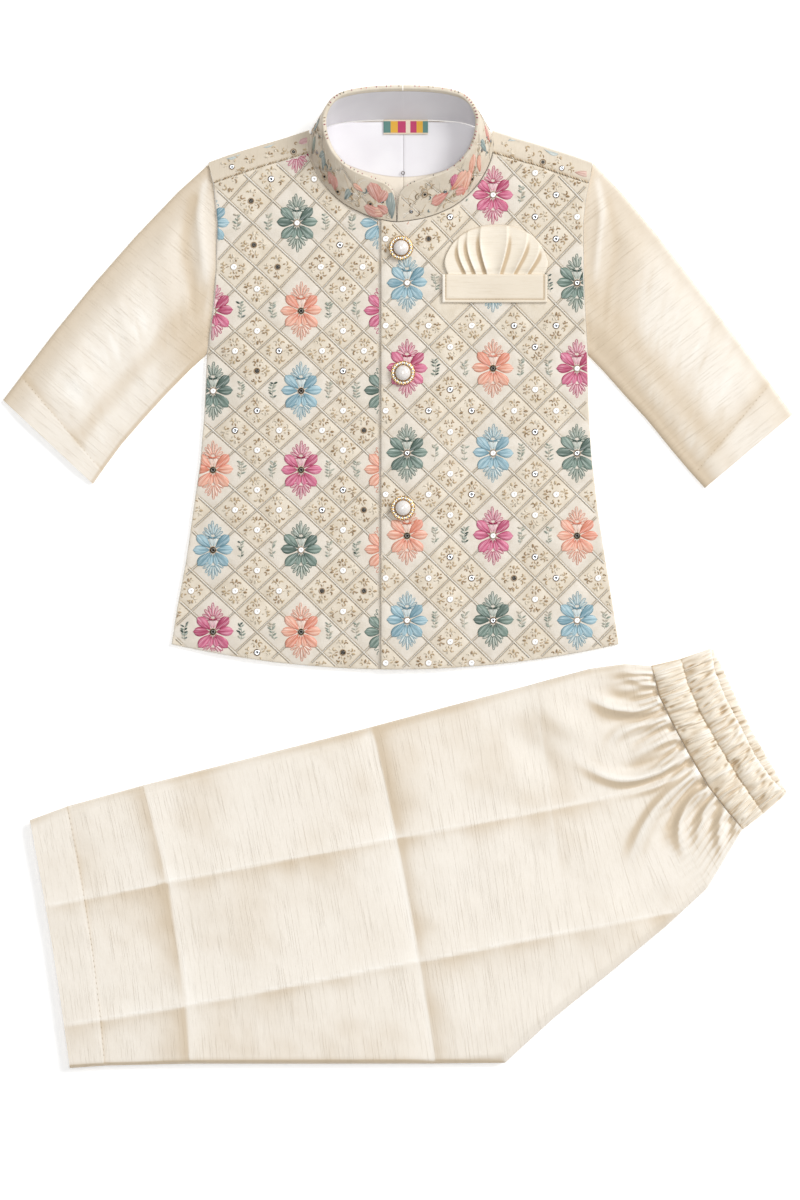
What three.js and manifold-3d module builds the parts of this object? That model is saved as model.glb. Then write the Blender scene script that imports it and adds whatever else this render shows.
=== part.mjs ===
// Kurta set for a 12 to 24 month old, laid flat: an embroidered stand-collar kurta with plain
// sleeves above a pajama that is folded in half. Millimetres. x runs across, y up the garment,
// z up from the surface that the set lies on. The origin is under the middle of the set.
import * as THREE from 'three';
import { mergeVertices } from 'three/addons/utils/BufferGeometryUtils.js';
import Module from 'manifold-3d';

const wasm = await Module();
wasm.setup();

// Cloth and clearances
const seamGap = 0.3;
const bodyWall = 1.6;
const sleeveWall = 1.3;
const liningWall = 1.2;
const legWall = 1.6;
const cordRise = 0.6;
const petalRise = 1.1;
const frontAir = 2.6;

// Kurta body: side and armhole lines from the shoulder point down to the hem
const bodySides = [
  { y: 297.5, left: -136.5, right: 140 },
  { y: 284, left: -132.8, right: 137.2 },
  { y: 272, left: -131.8, right: 135 },
  { y: 255, left: -130.3, right: 133.2 },
  { y: 221, left: -131, right: 133.6 },
  { y: 192, left: -133.2, right: 134.6 },
  { y: 160, left: -137.5, right: 136.5 },
  { y: 116, left: -139.5, right: 137.5 },
  { y: 82, left: -142.5, right: 140 },
  { y: 47, left: -147.5, right: 144 },
  { y: 12, left: -152.5, right: 149.5 },
  { y: -22, left: -159, right: 155 },
  { y: -48, left: -163, right: 159 },
];
const underarmY = 160;
const hem = { middle: -2, half: 161, low: -66.2, rise: 18.2 };

// Shoulder: fold line at the top and the seam in front of it, from the collar outwards
const shoulders = [
  { left: -56, right: 60, fold: 325, seam: 309 },
  { left: -66, right: 70, fold: 321.6, seam: 305.6 },
  { left: -80, right: 84, fold: 317, seam: 301.3 },
  { left: -96, right: 100, fold: 312.3, seam: 296.8 },
  { left: -113, right: 116, fold: 307.2, seam: 291.2 },
  { left: -125, right: 128, fold: 303.3, seam: 287 },
  { left: -132.9, right: 137.3, fold: 299, seam: 284.3 },
];
// How much wider the last fold point is than the seam below it, where the armhole slants
const shoulderFlare = { left: -3.5, right: 2.7 };
// Section of the shoulder cloth where it wraps forward: out past the fold, and height
const wrapSection = [
  { out: 0, outer: 0, inOut: -0.2, inner: 1.6 },
  { out: 1.2, outer: 0.5, inOut: 0, inner: 1.7 },
  { out: 1.7, outer: 1.7, inOut: 0.1, inner: 1.95 },
  { out: 1.3, outer: 3.0, inOut: 0, inner: 2.2 },
  { out: 0, outer: 3.9, inOut: -0.4, inner: 2.35 },
];
const wrapSteps = 3;
const wrapFoldReach = 1.7;
const wrapSeamTop = 6.0;

// Placket and under extension
const placketX = -12.3;
const extensionX = 16;
const placketLift = 2.3;
const placketEase = { from: 23, to: 55 };

// Trellis of couched cords and the flowers on it: places of the flowers in each front panel
const trellis = {
  under: { columns: [-133.2, -69.8, -9.5], rows: [255.2, 191.9, 134.3, 77.4, 19.8, -39.2] },
  over: { columns: [6.5, 68.4, 128.9], rows: [275.4, 212, 150.5, 89.5, 30, -31] },
};
const cordHalfWidth = 1.3;
const petal = { edgeTip: 14, axisTip: 15, shortTip: 9, notch: 6.5, crest: 8 };

// Collar: half of it from the front opening round to the centre back seam
const collarRows = [
  { mid: -0.8, out: 0.5, y: 256.2, z: 8.8, topOut: 0.7, topY: 267, topZ: 12.6 },
  { mid: -0.8, out: 4, y: 256.6, z: 8.8, topOut: 2.4, topY: 275.8, topZ: 16 },
  { mid: 0, out: 9.5, y: 257.4, z: 8.8, topOut: 8, topY: 281.8, topZ: 18.4 },
  { mid: 1, out: 19, y: 259.4, z: 8.6, topOut: 18, topY: 286, topZ: 20 },
  { mid: 2, out: 30, y: 263.6, z: 8.3, topOut: 31, topY: 290.5, topZ: 21.8 },
  { mid: 2, out: 41, y: 269.6, z: 7.9, topOut: 40.5, topY: 296, topZ: 24 },
  { mid: 2, out: 51, y: 278.4, z: 7.3, topOut: 48, topY: 303.5, topZ: 26.4 },
  { mid: 2, out: 59, y: 289, z: 6.9, topOut: 53, topY: 312.5, topZ: 28.6 },
  { mid: 2, out: 64.5, y: 301, z: 6.6, topOut: 55.7, topY: 322, topZ: 30 },
  { mid: 2, out: 66.5, y: 312, z: 6.2, topOut: 56, topY: 331.5, topZ: 30.5 },
  { mid: 2, out: 64, y: 321.6, z: 5.4, topOut: 52.5, topY: 340.5, topZ: 30.2 },
  { mid: 2, out: 55, y: 327.2, z: 3.0, topOut: 46, topY: 347, topZ: 29.4 },
  { mid: 2.5, out: 42.5, y: 330.6, z: 1.2, topOut: 36, topY: 350.6, topZ: 28.5 },
  { mid: 3, out: 27, y: 332, z: 0.6, topOut: 23, topY: 352.6, topZ: 27.8 },
  { mid: 3.5, out: 11, y: 332.4, z: 0.4, topOut: 10, topY: 353.4, topZ: 27.5 },
  { mid: 3.5, out: 0.25, y: 332.4, z: 0.4, topOut: 0.25, topY: 353.5, topZ: 27.5 },
];
const collar = { outerWall: 1.6, rollDepth: 3, rollRise: 0.8, stations: 23 };
const neckMiddle = { x: 2, y: 298 };
const neckClear = 0.5;
const backNeckInset = 3.2;
const collarLayerGap = 0.5;

// Lining inside the back neck, and its label
const liningSeamX = 4;
const liningInset = 4.5;
const label = { width: 32, height: 10.6, wall: 1.0, x: 5.6, y: 324.4 };

// Sleeves: outer edge and underarm seam from armhole to cuff
const sleeveRows = {
  left: [
    { t: 0, outX: -136.8, outY: 297.2, inX: -137.9, inY: 160.5 },
    { t: 0.16, outX: -158, outY: 278, inX: -149.8, inY: 149.5 },
    { t: 0.36, outX: -188.6, outY: 246, inX: -166, inY: 133 },
    { t: 0.56, outX: -218.9, outY: 211.5, inX: -182, inY: 115.5 },
    { t: 0.76, outX: -247, outY: 177, inX: -199, inY: 96 },
    { t: 0.9, outX: -268, outY: 149.5, inX: -211.5, inY: 79 },
    { t: 1, outX: -284.4, outY: 127.8, inX: -219.6, inY: 67.3 },
  ],
  right: [
    { t: 0, outX: 140.4, outY: 298.6, inX: 136.9, inY: 160 },
    { t: 0.16, outX: 160, outY: 278.5, inX: 148, inY: 148.5 },
    { t: 0.36, outX: 187.4, outY: 246, inX: 163.5, inY: 131 },
    { t: 0.56, outX: 214, outY: 211.5, inX: 179.5, inY: 113.5 },
    { t: 0.76, outX: 240.5, outY: 177, inX: 196.5, inY: 92.5 },
    { t: 0.9, outX: 264, outY: 145.5, inX: 210.5, inY: 76 },
    { t: 1, outX: 284.4, outY: 117.7, inX: 221, inY: 64.4 },
  ],
};
const sleeveTop = { edge: 3.0, middle: 5.0, edgeReach: 0.24 };
const sleeveHem = { start: 0.925, step: 0.35 };
const sleeveFolds = [
  { side: 'left', fromX: -141, fromY: 284, toX: -135, toY: 231, rise: 0.7, width: 5 },
  { side: 'left', fromX: -150, fromY: 250, toX: -142, toY: 190, rise: -0.5, width: 7 },
  { side: 'right', fromX: 145, fromY: 285, toX: 143, toY: 222, rise: 0.7, width: 5 },
  { side: 'right', fromX: 153, fromY: 250, toX: 146, toY: 190, rise: -0.5, width: 7 },
];

// Pocket welt, and the pleated square tucked in it
const welt = { left: 31.8, right: 107.6, top: 218.2, bottom: 197.8, wall: 1.6, lift: 0.95, mouth: 1.4 };
const fan = { left: 35.6, right: 105.6, rootY: 212, middleX: 70.6, apexY: 254, wall: 1.2 };
// One row a pleat: where its crease starts at the welt and ends at the rim, and its height
const pleats = [
  { rootX: 49, tipX: 47, rise: 2.0 },
  { rootX: 56, tipX: 53, rise: 2.4 },
  { rootX: 64, tipX: 61.5, rise: 2.7 },
  { rootX: 73, tipX: 77, rise: 2.7 },
  { rootX: 83, tipX: 90, rise: 2.4 },
  { rootX: 93, tipX: 98.5, rise: 2.0 },
];

// Buttons
const buttons = [
  { x: 2.2, y: 237.2 },
  { x: 3.6, y: 147.2 },
  { x: 3.6, y: 50 },
];
const buttonLift = petalRise + seamGap;
const rimProfile = [[0, 0], [7.8, 0], [8.75, 1.2], [8.2, 2.9], [7.1, 3.1], [6, 1.3], [0, 1.2]];
const pearlProfile = [[0, 1.5], [5, 1.5], [5.5, 2.6], [4.9, 4.3], [3.1, 5.8], [0, 6.4]];

// Pajama: stations from hem to waist seam, along the outer fold and the inner edge
const legRows = [
  { t: 0, foldX: -265, foldY: -174.6, innerX: -236.2, innerY: -353.2, bow: 1.5 },
  { t: 0.06, foldX: -238, foldY: -164.6, innerX: -211, innerY: -351.4, bow: 3 },
  { t: 0.19, foldX: -182.2, foldY: -149.2, innerX: -149, innerY: -350, bow: 5 },
  { t: 0.38, foldX: -100, foldY: -128.2, innerX: -62, innerY: -350, bow: 3.5 },
  { t: 0.56, foldX: -19.4, foldY: -107.6, innerX: 26, innerY: -349.9, bow: 2.4 },
  { t: 0.67, foldX: 39.6, foldY: -91.8, innerX: 77, innerY: -349.4, bow: 1.5 },
  { t: 0.76, foldX: 80, foldY: -81.2, innerX: 113, innerY: -316.4, bow: 0.5 },
  { t: 0.84, foldX: 110, foldY: -73.2, innerX: 151, innerY: -285.8, bow: 0 },
  { t: 0.91, foldX: 138, foldY: -66.6, innerX: 193, innerY: -250.6, bow: 0 },
  { t: 0.96, foldX: 163, foldY: -63.8, innerX: 222, innerY: -223.5, bow: 0 },
  { t: 1, foldX: 181.6, foldY: -65.6, innerX: 247, innerY: -181.4, bow: 0 },
];
// Closer together at the hem, on each side of the two pressed cross creases and near the waist
const legStations = [
  0, 0.058, 0.065, 0.12, 0.16, 0.178, 0.19, 0.202, 0.22, 0.28, 0.36, 0.44, 0.5, 0.53, 0.548, 0.56,
  0.572, 0.59, 0.63, 0.69, 0.75, 0.8, 0.845, 0.885, 0.925, 0.965, 1,
];
const waistGap = 0.5;
const hiddenLayer = 1.4;
const layerGroove = 0.2;
const hiddenLayers = 3;
const hiddenInset = 1.2;
const creases = [
  { name: 'cross near hem', depth: 1.0, width: 7, path: [[-182, -149], [-165.6, -218], [-152.6, -302], [-149, -350]] },
  { name: 'cross mid leg', depth: 1.2, width: 8, path: [[-19.4, -109], [-2.2, -186], [14.4, -276], [26, -350]] },
  { name: 'cross by seat', depth: 0.4, width: 8, path: [[99.4, -79.6], [110, -166], [121, -250]] },
  { name: 'long upper', depth: 0.8, width: 8, path: [[-253, -236.5], [-165.6, -219], [-2.2, -187.6], [147, -158.8], [202, -140.8]] },
  { name: 'long lower', depth: 0.9, width: 8, path: [[-239, -322], [-152.6, -307.8], [14.4, -276], [117, -256], [206, -239]] },
];
const pillow = 1.3;
const hemFold = { end: 0.06, step: 0.35 };
const gathers = { count: 15, rise: 3.0, reach: 0.3 };
const waistRise = 0.8;

// Waistband casing: inner seam, stitch line between the two elastics, outer edge
const bandRows = [
  { t: 0, seamX: 182.4, seamY: -63.6, midX: 203.5, midY: -58.5, nearX: 225.2, nearY: -51, farX: 227, farY: -52 },
  { t: 0.17, seamX: 187.8, seamY: -84.6, midX: 208.5, midY: -77, nearX: 228, nearY: -67.5, farX: 235.5, farY: -69.5 },
  { t: 0.34, seamX: 197, seamY: -104, midX: 217.5, midY: -97.5, nearX: 236, nearY: -87.5, farX: 244.5, farY: -89.5 },
  { t: 0.52, seamX: 210, seamY: -128, midX: 229, midY: -118, nearX: 246.5, nearY: -107.5, farX: 254, farY: -109 },
  { t: 0.7, seamX: 223.8, seamY: -151, midX: 241.5, midY: -138.5, nearX: 257, nearY: -128.5, farX: 265, farY: -128.5 },
  { t: 0.86, seamX: 237.8, seamY: -169, midX: 253, midY: -156, nearX: 269.5, nearY: -146, farX: 274.5, farY: -145 },
  { t: 1, seamX: 248.2, seamY: -181.2, midX: 263, midY: -170, nearX: 279.4, nearY: -155.6, farX: 279.6, farY: -154.6 },
];
const band = { ribs: 30, rib: 1.0, puff: 2.2, wall: 2.4, nearBottom: 5.6, farTop: 2.8, endDrop: 2.4, endReach: 0.07 };

// Small tools

const clamp01 = (t) => Math.min(1, Math.max(0, t));
const smooth = (t) => clamp01(t) ** 2 * (3 - 2 * clamp01(t));
const mix = (a, b, t) => a + (b - a) * t;

// Value of one named column, at a place along another, straight between rows
function along(rows, key, at, column) {
  const last = rows.length - 1;
  const rising = rows[last][key] > rows[0][key];
  let k = 0;
  while (k < last - 1 && (rising ? at > rows[k + 1][key] : at < rows[k + 1][key])) {
    k += 1;
  }
  const share = (at - rows[k][key]) / (rows[k + 1][key] - rows[k][key]);
  return mix(rows[k][column], rows[k + 1][column], share);
}

// The same, but on a smooth curve through rows that are numbered 0, 1, 2 and so on
function curveAt(rows, column, at) {
  const last = rows.length - 1;
  const k = Math.min(last - 1, Math.max(0, Math.floor(at)));
  const s = at - k;
  const row = (n) => rows[Math.min(last, Math.max(0, n))][column];
  const [a, b, c, d] = [row(k - 1), row(k), row(k + 1), row(k + 2)];
  return b + 0.5 * s * (c - a + s * (2 * a - 5 * b + 4 * c - d + s * (3 * (b - c) + d - a)));
}

// Distance from a place to a line of points
function lineDistance(x, y, path) {
  let nearest = Infinity;
  for (let k = 0; k + 1 < path.length; k += 1) {
    const [ax, ay] = path[k];
    const [bx, by] = path[k + 1];
    const length2 = (bx - ax) ** 2 + (by - ay) ** 2;
    const s = clamp01(((x - ax) * (bx - ax) + (y - ay) * (by - ay)) / length2);
    nearest = Math.min(nearest, Math.hypot(x - mix(ax, bx, s), y - mix(ay, by, s)));
  }
  return nearest;
}

// A closed body collected face by face
class Skin {
  constructor() {
    this.points = [];
  }

  triangle(a, b, c) {
    this.points.push(...a, ...b, ...c);
  }

  quad(a, b, c, d) {
    this.triangle(a, b, c);
    this.triangle(a, c, d);
  }

  // Faces between two lines of points that run side by side
  strip(low, high) {
    for (let k = 0; k + 1 < low.length; k += 1) {
      this.quad(low[k], low[k + 1], high[k + 1], high[k]);
    }
  }

  // A flat or nearly flat face inside a loop that runs anticlockwise in the given plane
  face(loop, flatten, reverse = false) {
    const flat = loop.map(flatten);
    for (const [a, b, c] of THREE.ShapeUtils.triangulateShape(flat, [])) {
      this.triangle(...(reverse ? [loop[c], loop[b], loop[a]] : [loop[a], loop[b], loop[c]]));
    }
  }

  geometry() {
    const shape = new THREE.BufferGeometry();
    shape.setAttribute('position', new THREE.Float32BufferAttribute(this.points, 3));
    return mergeVertices(shape, 1e-4);
  }
}

const plan = ([x, y]) => new THREE.Vector2(x, y);

// Wall with a fully worked top and a plain inside that is straight across each station
function plainBackedWall(top, bottomZ) {
  const skin = new Skin();
  const last = top.length - 1;
  const width = top[0].length - 1;
  const dropped = (i, j) => [top[i][j][0], top[i][j][1], bottomZ(i)];
  for (let i = 0; i < last; i += 1) {
    skin.strip(top[i], top[i + 1]);
    skin.quad(dropped(i, 0), dropped(i + 1, 0), dropped(i + 1, width), dropped(i, width));
    skin.quad(dropped(i, 0), top[i][0], top[i + 1][0], dropped(i + 1, 0));
    skin.quad(dropped(i + 1, width), top[i + 1][width], top[i][width], dropped(i, width));
  }
  for (const [i, first] of [[0, true], [last, false]]) {
    const middle = dropped(i, width);
    const row = [dropped(i, 0), ...top[i]];
    for (let k = 0; k + 1 < row.length; k += 1) {
      skin.triangle(...(first ? [middle, row[k + 1], row[k]] : [middle, row[k], row[k + 1]]));
    }
  }
  return skin.geometry();
}

// Wall with a fully worked top over a flat plain inside
function flatBackedWall(top, insideZ) {
  const skin = new Skin();
  const last = top.length - 1;
  for (let i = 0; i < last; i += 1) {
    skin.strip(top[i], top[i + 1]);
  }
  const rim = [
    ...top[0].slice(0, -1),
    ...top.slice(0, -1).map((line) => line.at(-1)),
    ...top[last].slice(1).reverse(),
    ...top.slice(1).map((line) => line[0]).reverse(),
  ];
  const under = rim.map(([x, y]) => [x, y, insideZ]);
  for (let n = 0; n < rim.length; n += 1) {
    const next = (n + 1) % rim.length;
    skin.quad(rim[next], rim[n], under[n], under[next]);
  }
  skin.face(under, plan, THREE.ShapeUtils.area(rim.map(plan)) > 0);
  return skin.geometry();
}

// Solid of the same closed section at each station along an open line
function sweptSection(stations, section) {
  const skin = new Skin();
  const loops = stations.map(section);
  const count = loops[0].length;
  for (let i = 0; i + 1 < loops.length; i += 1) {
    for (let k = 0; k < count; k += 1) {
      const n = (k + 1) % count;
      skin.quad(loops[i][k].at, loops[i][n].at, loops[i + 1][n].at, loops[i + 1][k].at);
    }
  }
  const end = loops.length - 1;
  for (const [i, reverse] of [[0, true], [end, false]]) {
    const flat = loops[i].map((corner) => new THREE.Vector2(corner.across, corner.up));
    for (const [a, b, c] of THREE.ShapeUtils.triangulateShape(flat, [])) {
      const at = [a, b, c].map((n) => loops[i][n].at);
      skin.triangle(...(reverse ? at.reverse() : at));
    }
  }
  return skin.geometry();
}

// Flat solid of an outline between two heights
function slab(outline, low, high) {
  const shape = new THREE.Shape(outline.map(plan));
  const geometry = new THREE.ExtrudeGeometry(shape, { depth: high - low, bevelEnabled: false });
  geometry.translate(0, 0, low);
  return geometry;
}

// Joining and cutting
function toSolid(geometry) {
  const bare = geometry.clone();
  bare.deleteAttribute('normal');
  bare.deleteAttribute('uv');
  const merged = mergeVertices(bare, 1e-4);
  const positions = new Float32Array(merged.attributes.position.array);
  const triangles = new Uint32Array(merged.index.array);
  return new wasm.Manifold(new wasm.Mesh({ numProp: 3, vertProperties: positions, triVerts: triangles }));
}

function fromSolid(solid) {
  const mesh = solid.getMesh();
  const geometry = new THREE.BufferGeometry();
  geometry.setAttribute('position', new THREE.BufferAttribute(new Float32Array(mesh.vertProperties), 3));
  geometry.setIndex(new THREE.BufferAttribute(new Uint32Array(mesh.triVerts), 1));
  return geometry;
}

// Turn a geometry's faces the other way when it encloses less than nothing
function facingOut(geometry) {
  const shape = geometry.index ? geometry.toNonIndexed() : geometry;
  const p = shape.attributes.position;
  const corner = (n) => new THREE.Vector3().fromBufferAttribute(p, n);
  let volume = 0;
  for (let n = 0; n < p.count; n += 3) {
    volume += corner(n).dot(corner(n + 1).cross(corner(n + 2)));
  }
  if (volume >= 0) {
    return geometry;
  }
  const turned = [];
  for (let n = 0; n < p.count; n += 3) {
    turned.push(...corner(n), ...corner(n + 2), ...corner(n + 1));
  }
  const result = new THREE.BufferGeometry();
  result.setAttribute('position', new THREE.Float32BufferAttribute(turned, 3));
  return mergeVertices(result, 1e-4);
}

const kurtaSet = new THREE.Group();

function addPiece(name, geometry, finish) {
  const shaped = facingOut(geometry);
  shaped.computeVertexNormals();
  const piece = new THREE.Mesh(shaped, finish);
  piece.name = name;
  kurtaSet.add(piece);
}

const finishes = {
  embroidered: new THREE.MeshStandardMaterial({ color: '#d9cdb6', roughness: 0.72, metalness: 0 }),
  silk: new THREE.MeshStandardMaterial({ color: '#efe4cf', roughness: 0.45, metalness: 0 }),
  lining: new THREE.MeshStandardMaterial({ color: '#f3f2f4', roughness: 0.6, metalness: 0 }),
  label: new THREE.MeshStandardMaterial({ color: '#c8a23c', roughness: 0.7, metalness: 0 }),
  gilt: new THREE.MeshStandardMaterial({ color: '#c9a25a', roughness: 0.3, metalness: 1 }),
  pearl: new THREE.MeshStandardMaterial({ color: '#f1ebe0', roughness: 0.25, metalness: 0 }),
};

// Kurta body lines

const sideX = (side, y) => along(bodySides, 'y', y, side);
const hemY = (x) => hem.low + hem.rise * ((x - hem.middle) / hem.half) ** 2;

function hemLine(fromX, toX, steps) {
  return Array.from({ length: steps + 1 }, (_, k) => {
    const x = mix(fromX, toX, k / steps);
    return [x, hemY(x)];
  });
}

// Air between back and front: none at the side seams, held up by the sleeves above them
function airAt(x, y) {
  const inside = Math.min(x - sideX('left', y), sideX('right', y) - x);
  const held = 45 * smooth((y - underarmY + 12) / 45);
  const hemEase = smooth((y - hemY(x) + 14) / 40);
  return frontAir * smooth((inside + held) / 42) * mix(0.35, 1, hemEase);
}

const frontTop = (x, y) => 2 * bodyWall + seamGap + airAt(x, y);

function placketStep(x) {
  return placketLift * (1 - smooth((x - placketEase.from) / (placketEase.to - placketEase.from)));
}

const overTop = (x, y) => frontTop(x, y) + placketStep(x);

// Collar ring

function collarPoint(side, at) {
  const value = (column) => curveAt(collarRows, column, at);
  const mid = value('mid');
  return {
    base: new THREE.Vector3(mid + side * value('out'), value('y'), value('z')),
    top: new THREE.Vector3(mid + side * value('topOut'), value('topY'), value('topZ')),
  };
}

function collarFrame(side, at) {
  const lastRow = collarRows.length - 1;
  const here = collarPoint(side, at);
  const before = collarPoint(side, Math.max(0, at - 0.2));
  const after = collarPoint(side, Math.min(lastRow, at + 0.2));
  const forward = after.base.clone().add(after.top).sub(before.base).sub(before.top).normalize();
  const up = here.top.clone().sub(here.base);
  const height = up.length();
  up.normalize();
  const out = new THREE.Vector3().crossVectors(forward, up).multiplyScalar(side).normalize();
  return { base: here.base, up, out, height };
}

function collarStations(count) {
  const lastRow = collarRows.length - 1;
  return Array.from({ length: count }, (_, k) => (lastRow * k) / (count - 1));
}

// A point of the collar's section: across is outwards, up is from the seam to the top edge
function onCollar(frame, across, up) {
  const at = frame.base.clone().addScaledVector(frame.out, across).addScaledVector(frame.up, up);
  return { at: [at.x, at.y, at.z], across, up };
}

function collarOuter(side) {
  const { outerWall, rollDepth, rollRise } = collar;
  const full = outerWall + collarLayerGap + liningWall;
  return sweptSection(collarStations(collar.stations), (at) => {
    const frame = collarFrame(side, at);
    const h = frame.height;
    const corners = [
      [0, 0], [0, h / 3], [0, (2 * h) / 3], [0, h - 0.6], [-0.25 * full, h + 0.6 * rollRise],
      [-0.5 * full, h + rollRise], [-0.75 * full, h + 0.6 * rollRise], [-full, h - 0.6],
      [-full, h - rollDepth], [-outerWall, h - rollDepth], [-outerWall, (2 * h) / 3 - 1],
      [-outerWall, h / 3], [-outerWall, 0],
    ];
    return corners.map(([across, up]) => onCollar(frame, across, up));
  });
}

function collarInner() {
  const near = -(collar.outerWall + collarLayerGap);
  const far = near - liningWall;
  const there = collarStations(collar.stations);
  const round = [
    ...there.slice(0, -1).map((at) => ({ side: -1, at })),
    ...there.slice(0, -1).reverse().map((at) => ({ side: 1, at })),
  ];
  return sweptSection(round, ({ side, at }) => {
    const frame = collarFrame(side, at);
    const h = frame.height - collar.rollDepth - collarLayerGap;
    const corners = [[near, 0], [near, h / 2], [near, h], [far, h], [far, h / 2], [far, 0]];
    return corners.map(([across, up]) => onCollar(frame, across, up));
  });
}

// Loop in plan through the collar's seam, moved outwards or inwards
function neckLoop(outwards) {
  const there = collarStations(24).slice(0, -1);
  const middle = new THREE.Vector2(neckMiddle.x, neckMiddle.y);
  const place = (side, at) => {
    const { base } = collarPoint(side, at);
    const radial = new THREE.Vector2(base.x, base.y).sub(middle);
    const grown = radial.clone().setLength(radial.length() + outwards);
    return [middle.x + grown.x, middle.y + grown.y];
  };
  const rightHalf = there.map((at) => place(1, at));
  const leftHalf = there.map((at) => place(-1, at)).reverse();
  return [...rightHalf, ...leftHalf];
}

const neckHole = toSolid(slab(neckLoop(neckClear), bodyWall + 0.1, 40));

// Back panel with its shoulder wraps

const foldX = (row, side) => row[side] + (row === shoulders.at(-1) ? shoulderFlare[side] : 0);

function wrapStrip(side) {
  const skin = new Skin();
  const outerLines = [];
  const innerLines = [];
  for (const row of shoulders) {
    const foldY = row.fold - wrapFoldReach;
    const x = foldX(row, side);
    const outer = wrapSection.map((p) => [x, foldY + p.out, p.outer]);
    const inner = wrapSection.map((p) => [x, foldY + p.inOut, p.inner]);
    const start = wrapSection.at(-1);
    for (let k = 1; k <= wrapSteps; k += 1) {
      const s = k / wrapSteps;
      const z = mix(start.outer, wrapSeamTop, smooth(s));
      const px = mix(x, row[side], s);
      outer.push([px, mix(foldY + start.out, row.seam, s), z]);
      inner.push([px, mix(foldY + start.inOut, row.seam, s), z - bodyWall]);
    }
    outerLines.push(outer);
    innerLines.push(inner);
  }
  // The lower leg starts inside the flat panel, so that the two join
  const rootDepth = 6;
  const root = (line, z) => line.map((points, n) => {
    const row = shoulders[n];
    const share = rootDepth / (row.fold - wrapFoldReach - row.seam);
    return [mix(foldX(row, side), row[side], share), points[0][1] - rootDepth, z];
  });
  const outerRoot = root(outerLines, 0);
  const innerRoot = root(innerLines, bodyWall);
  outerLines.forEach((line, n) => line.unshift(outerRoot[n]));
  innerLines.forEach((line, n) => line.unshift(innerRoot[n]));
  for (let n = 0; n + 1 < outerLines.length; n += 1) {
    skin.strip(outerLines[n], outerLines[n + 1]);
    skin.strip(innerLines[n + 1], innerLines[n]);
    skin.quad(outerLines[n].at(-1), innerLines[n].at(-1), innerLines[n + 1].at(-1), outerLines[n + 1].at(-1));
    skin.quad(innerLines[n][0], outerLines[n][0], outerLines[n + 1][0], innerLines[n + 1][0]);
  }
  skin.strip(innerLines[0], outerLines[0]);
  skin.strip(outerLines.at(-1), innerLines.at(-1));
  return facingOut(skin.geometry());
}

function backPanel() {
  const rows = bodySides.slice(1);
  const leftSide = rows.map((row) => [row.left, row.y]);
  const rightSide = rows.map((row) => [row.right, row.y]).reverse();
  const foldLine = (side) => shoulders.slice(1).map((row) => [foldX(row, side), row.fold - wrapFoldReach]);
  const backNeck = collarRows.slice(10, 15);
  const neckLeft = backNeck.map((row) => [row.mid - row.out + 0.6 * backNeckInset, row.y - backNeckInset]);
  const neckRight = backNeck.map((row) => [row.mid + row.out - 0.6 * backNeckInset, row.y - backNeckInset]);
  const outline = [
    ...leftSide,
    ...hemLine(-163, 159, 16).slice(1, -1),
    ...rightSide,
    ...foldLine('right').reverse(),
    ...neckRight,
    ...neckLeft.reverse(),
    ...foldLine('left'),
  ];
  let solid = toSolid(slab(outline, 0, bodyWall));
  for (const side of ['left', 'right']) {
    solid = solid.add(toSolid(wrapStrip(side)).subtract(neckHole));
  }
  return fromSolid(solid);
}

// Front panels on the trellis

function trellisPlace({ columns, rows }, i, j) {
  const at = (list, n) => {
    const k = Math.min(list.length - 2, Math.max(0, Math.floor(n / 4)));
    return mix(list[k], list[k + 1], n / 4 - k);
  };
  return [at(columns, i), at(rows, j)];
}

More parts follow.
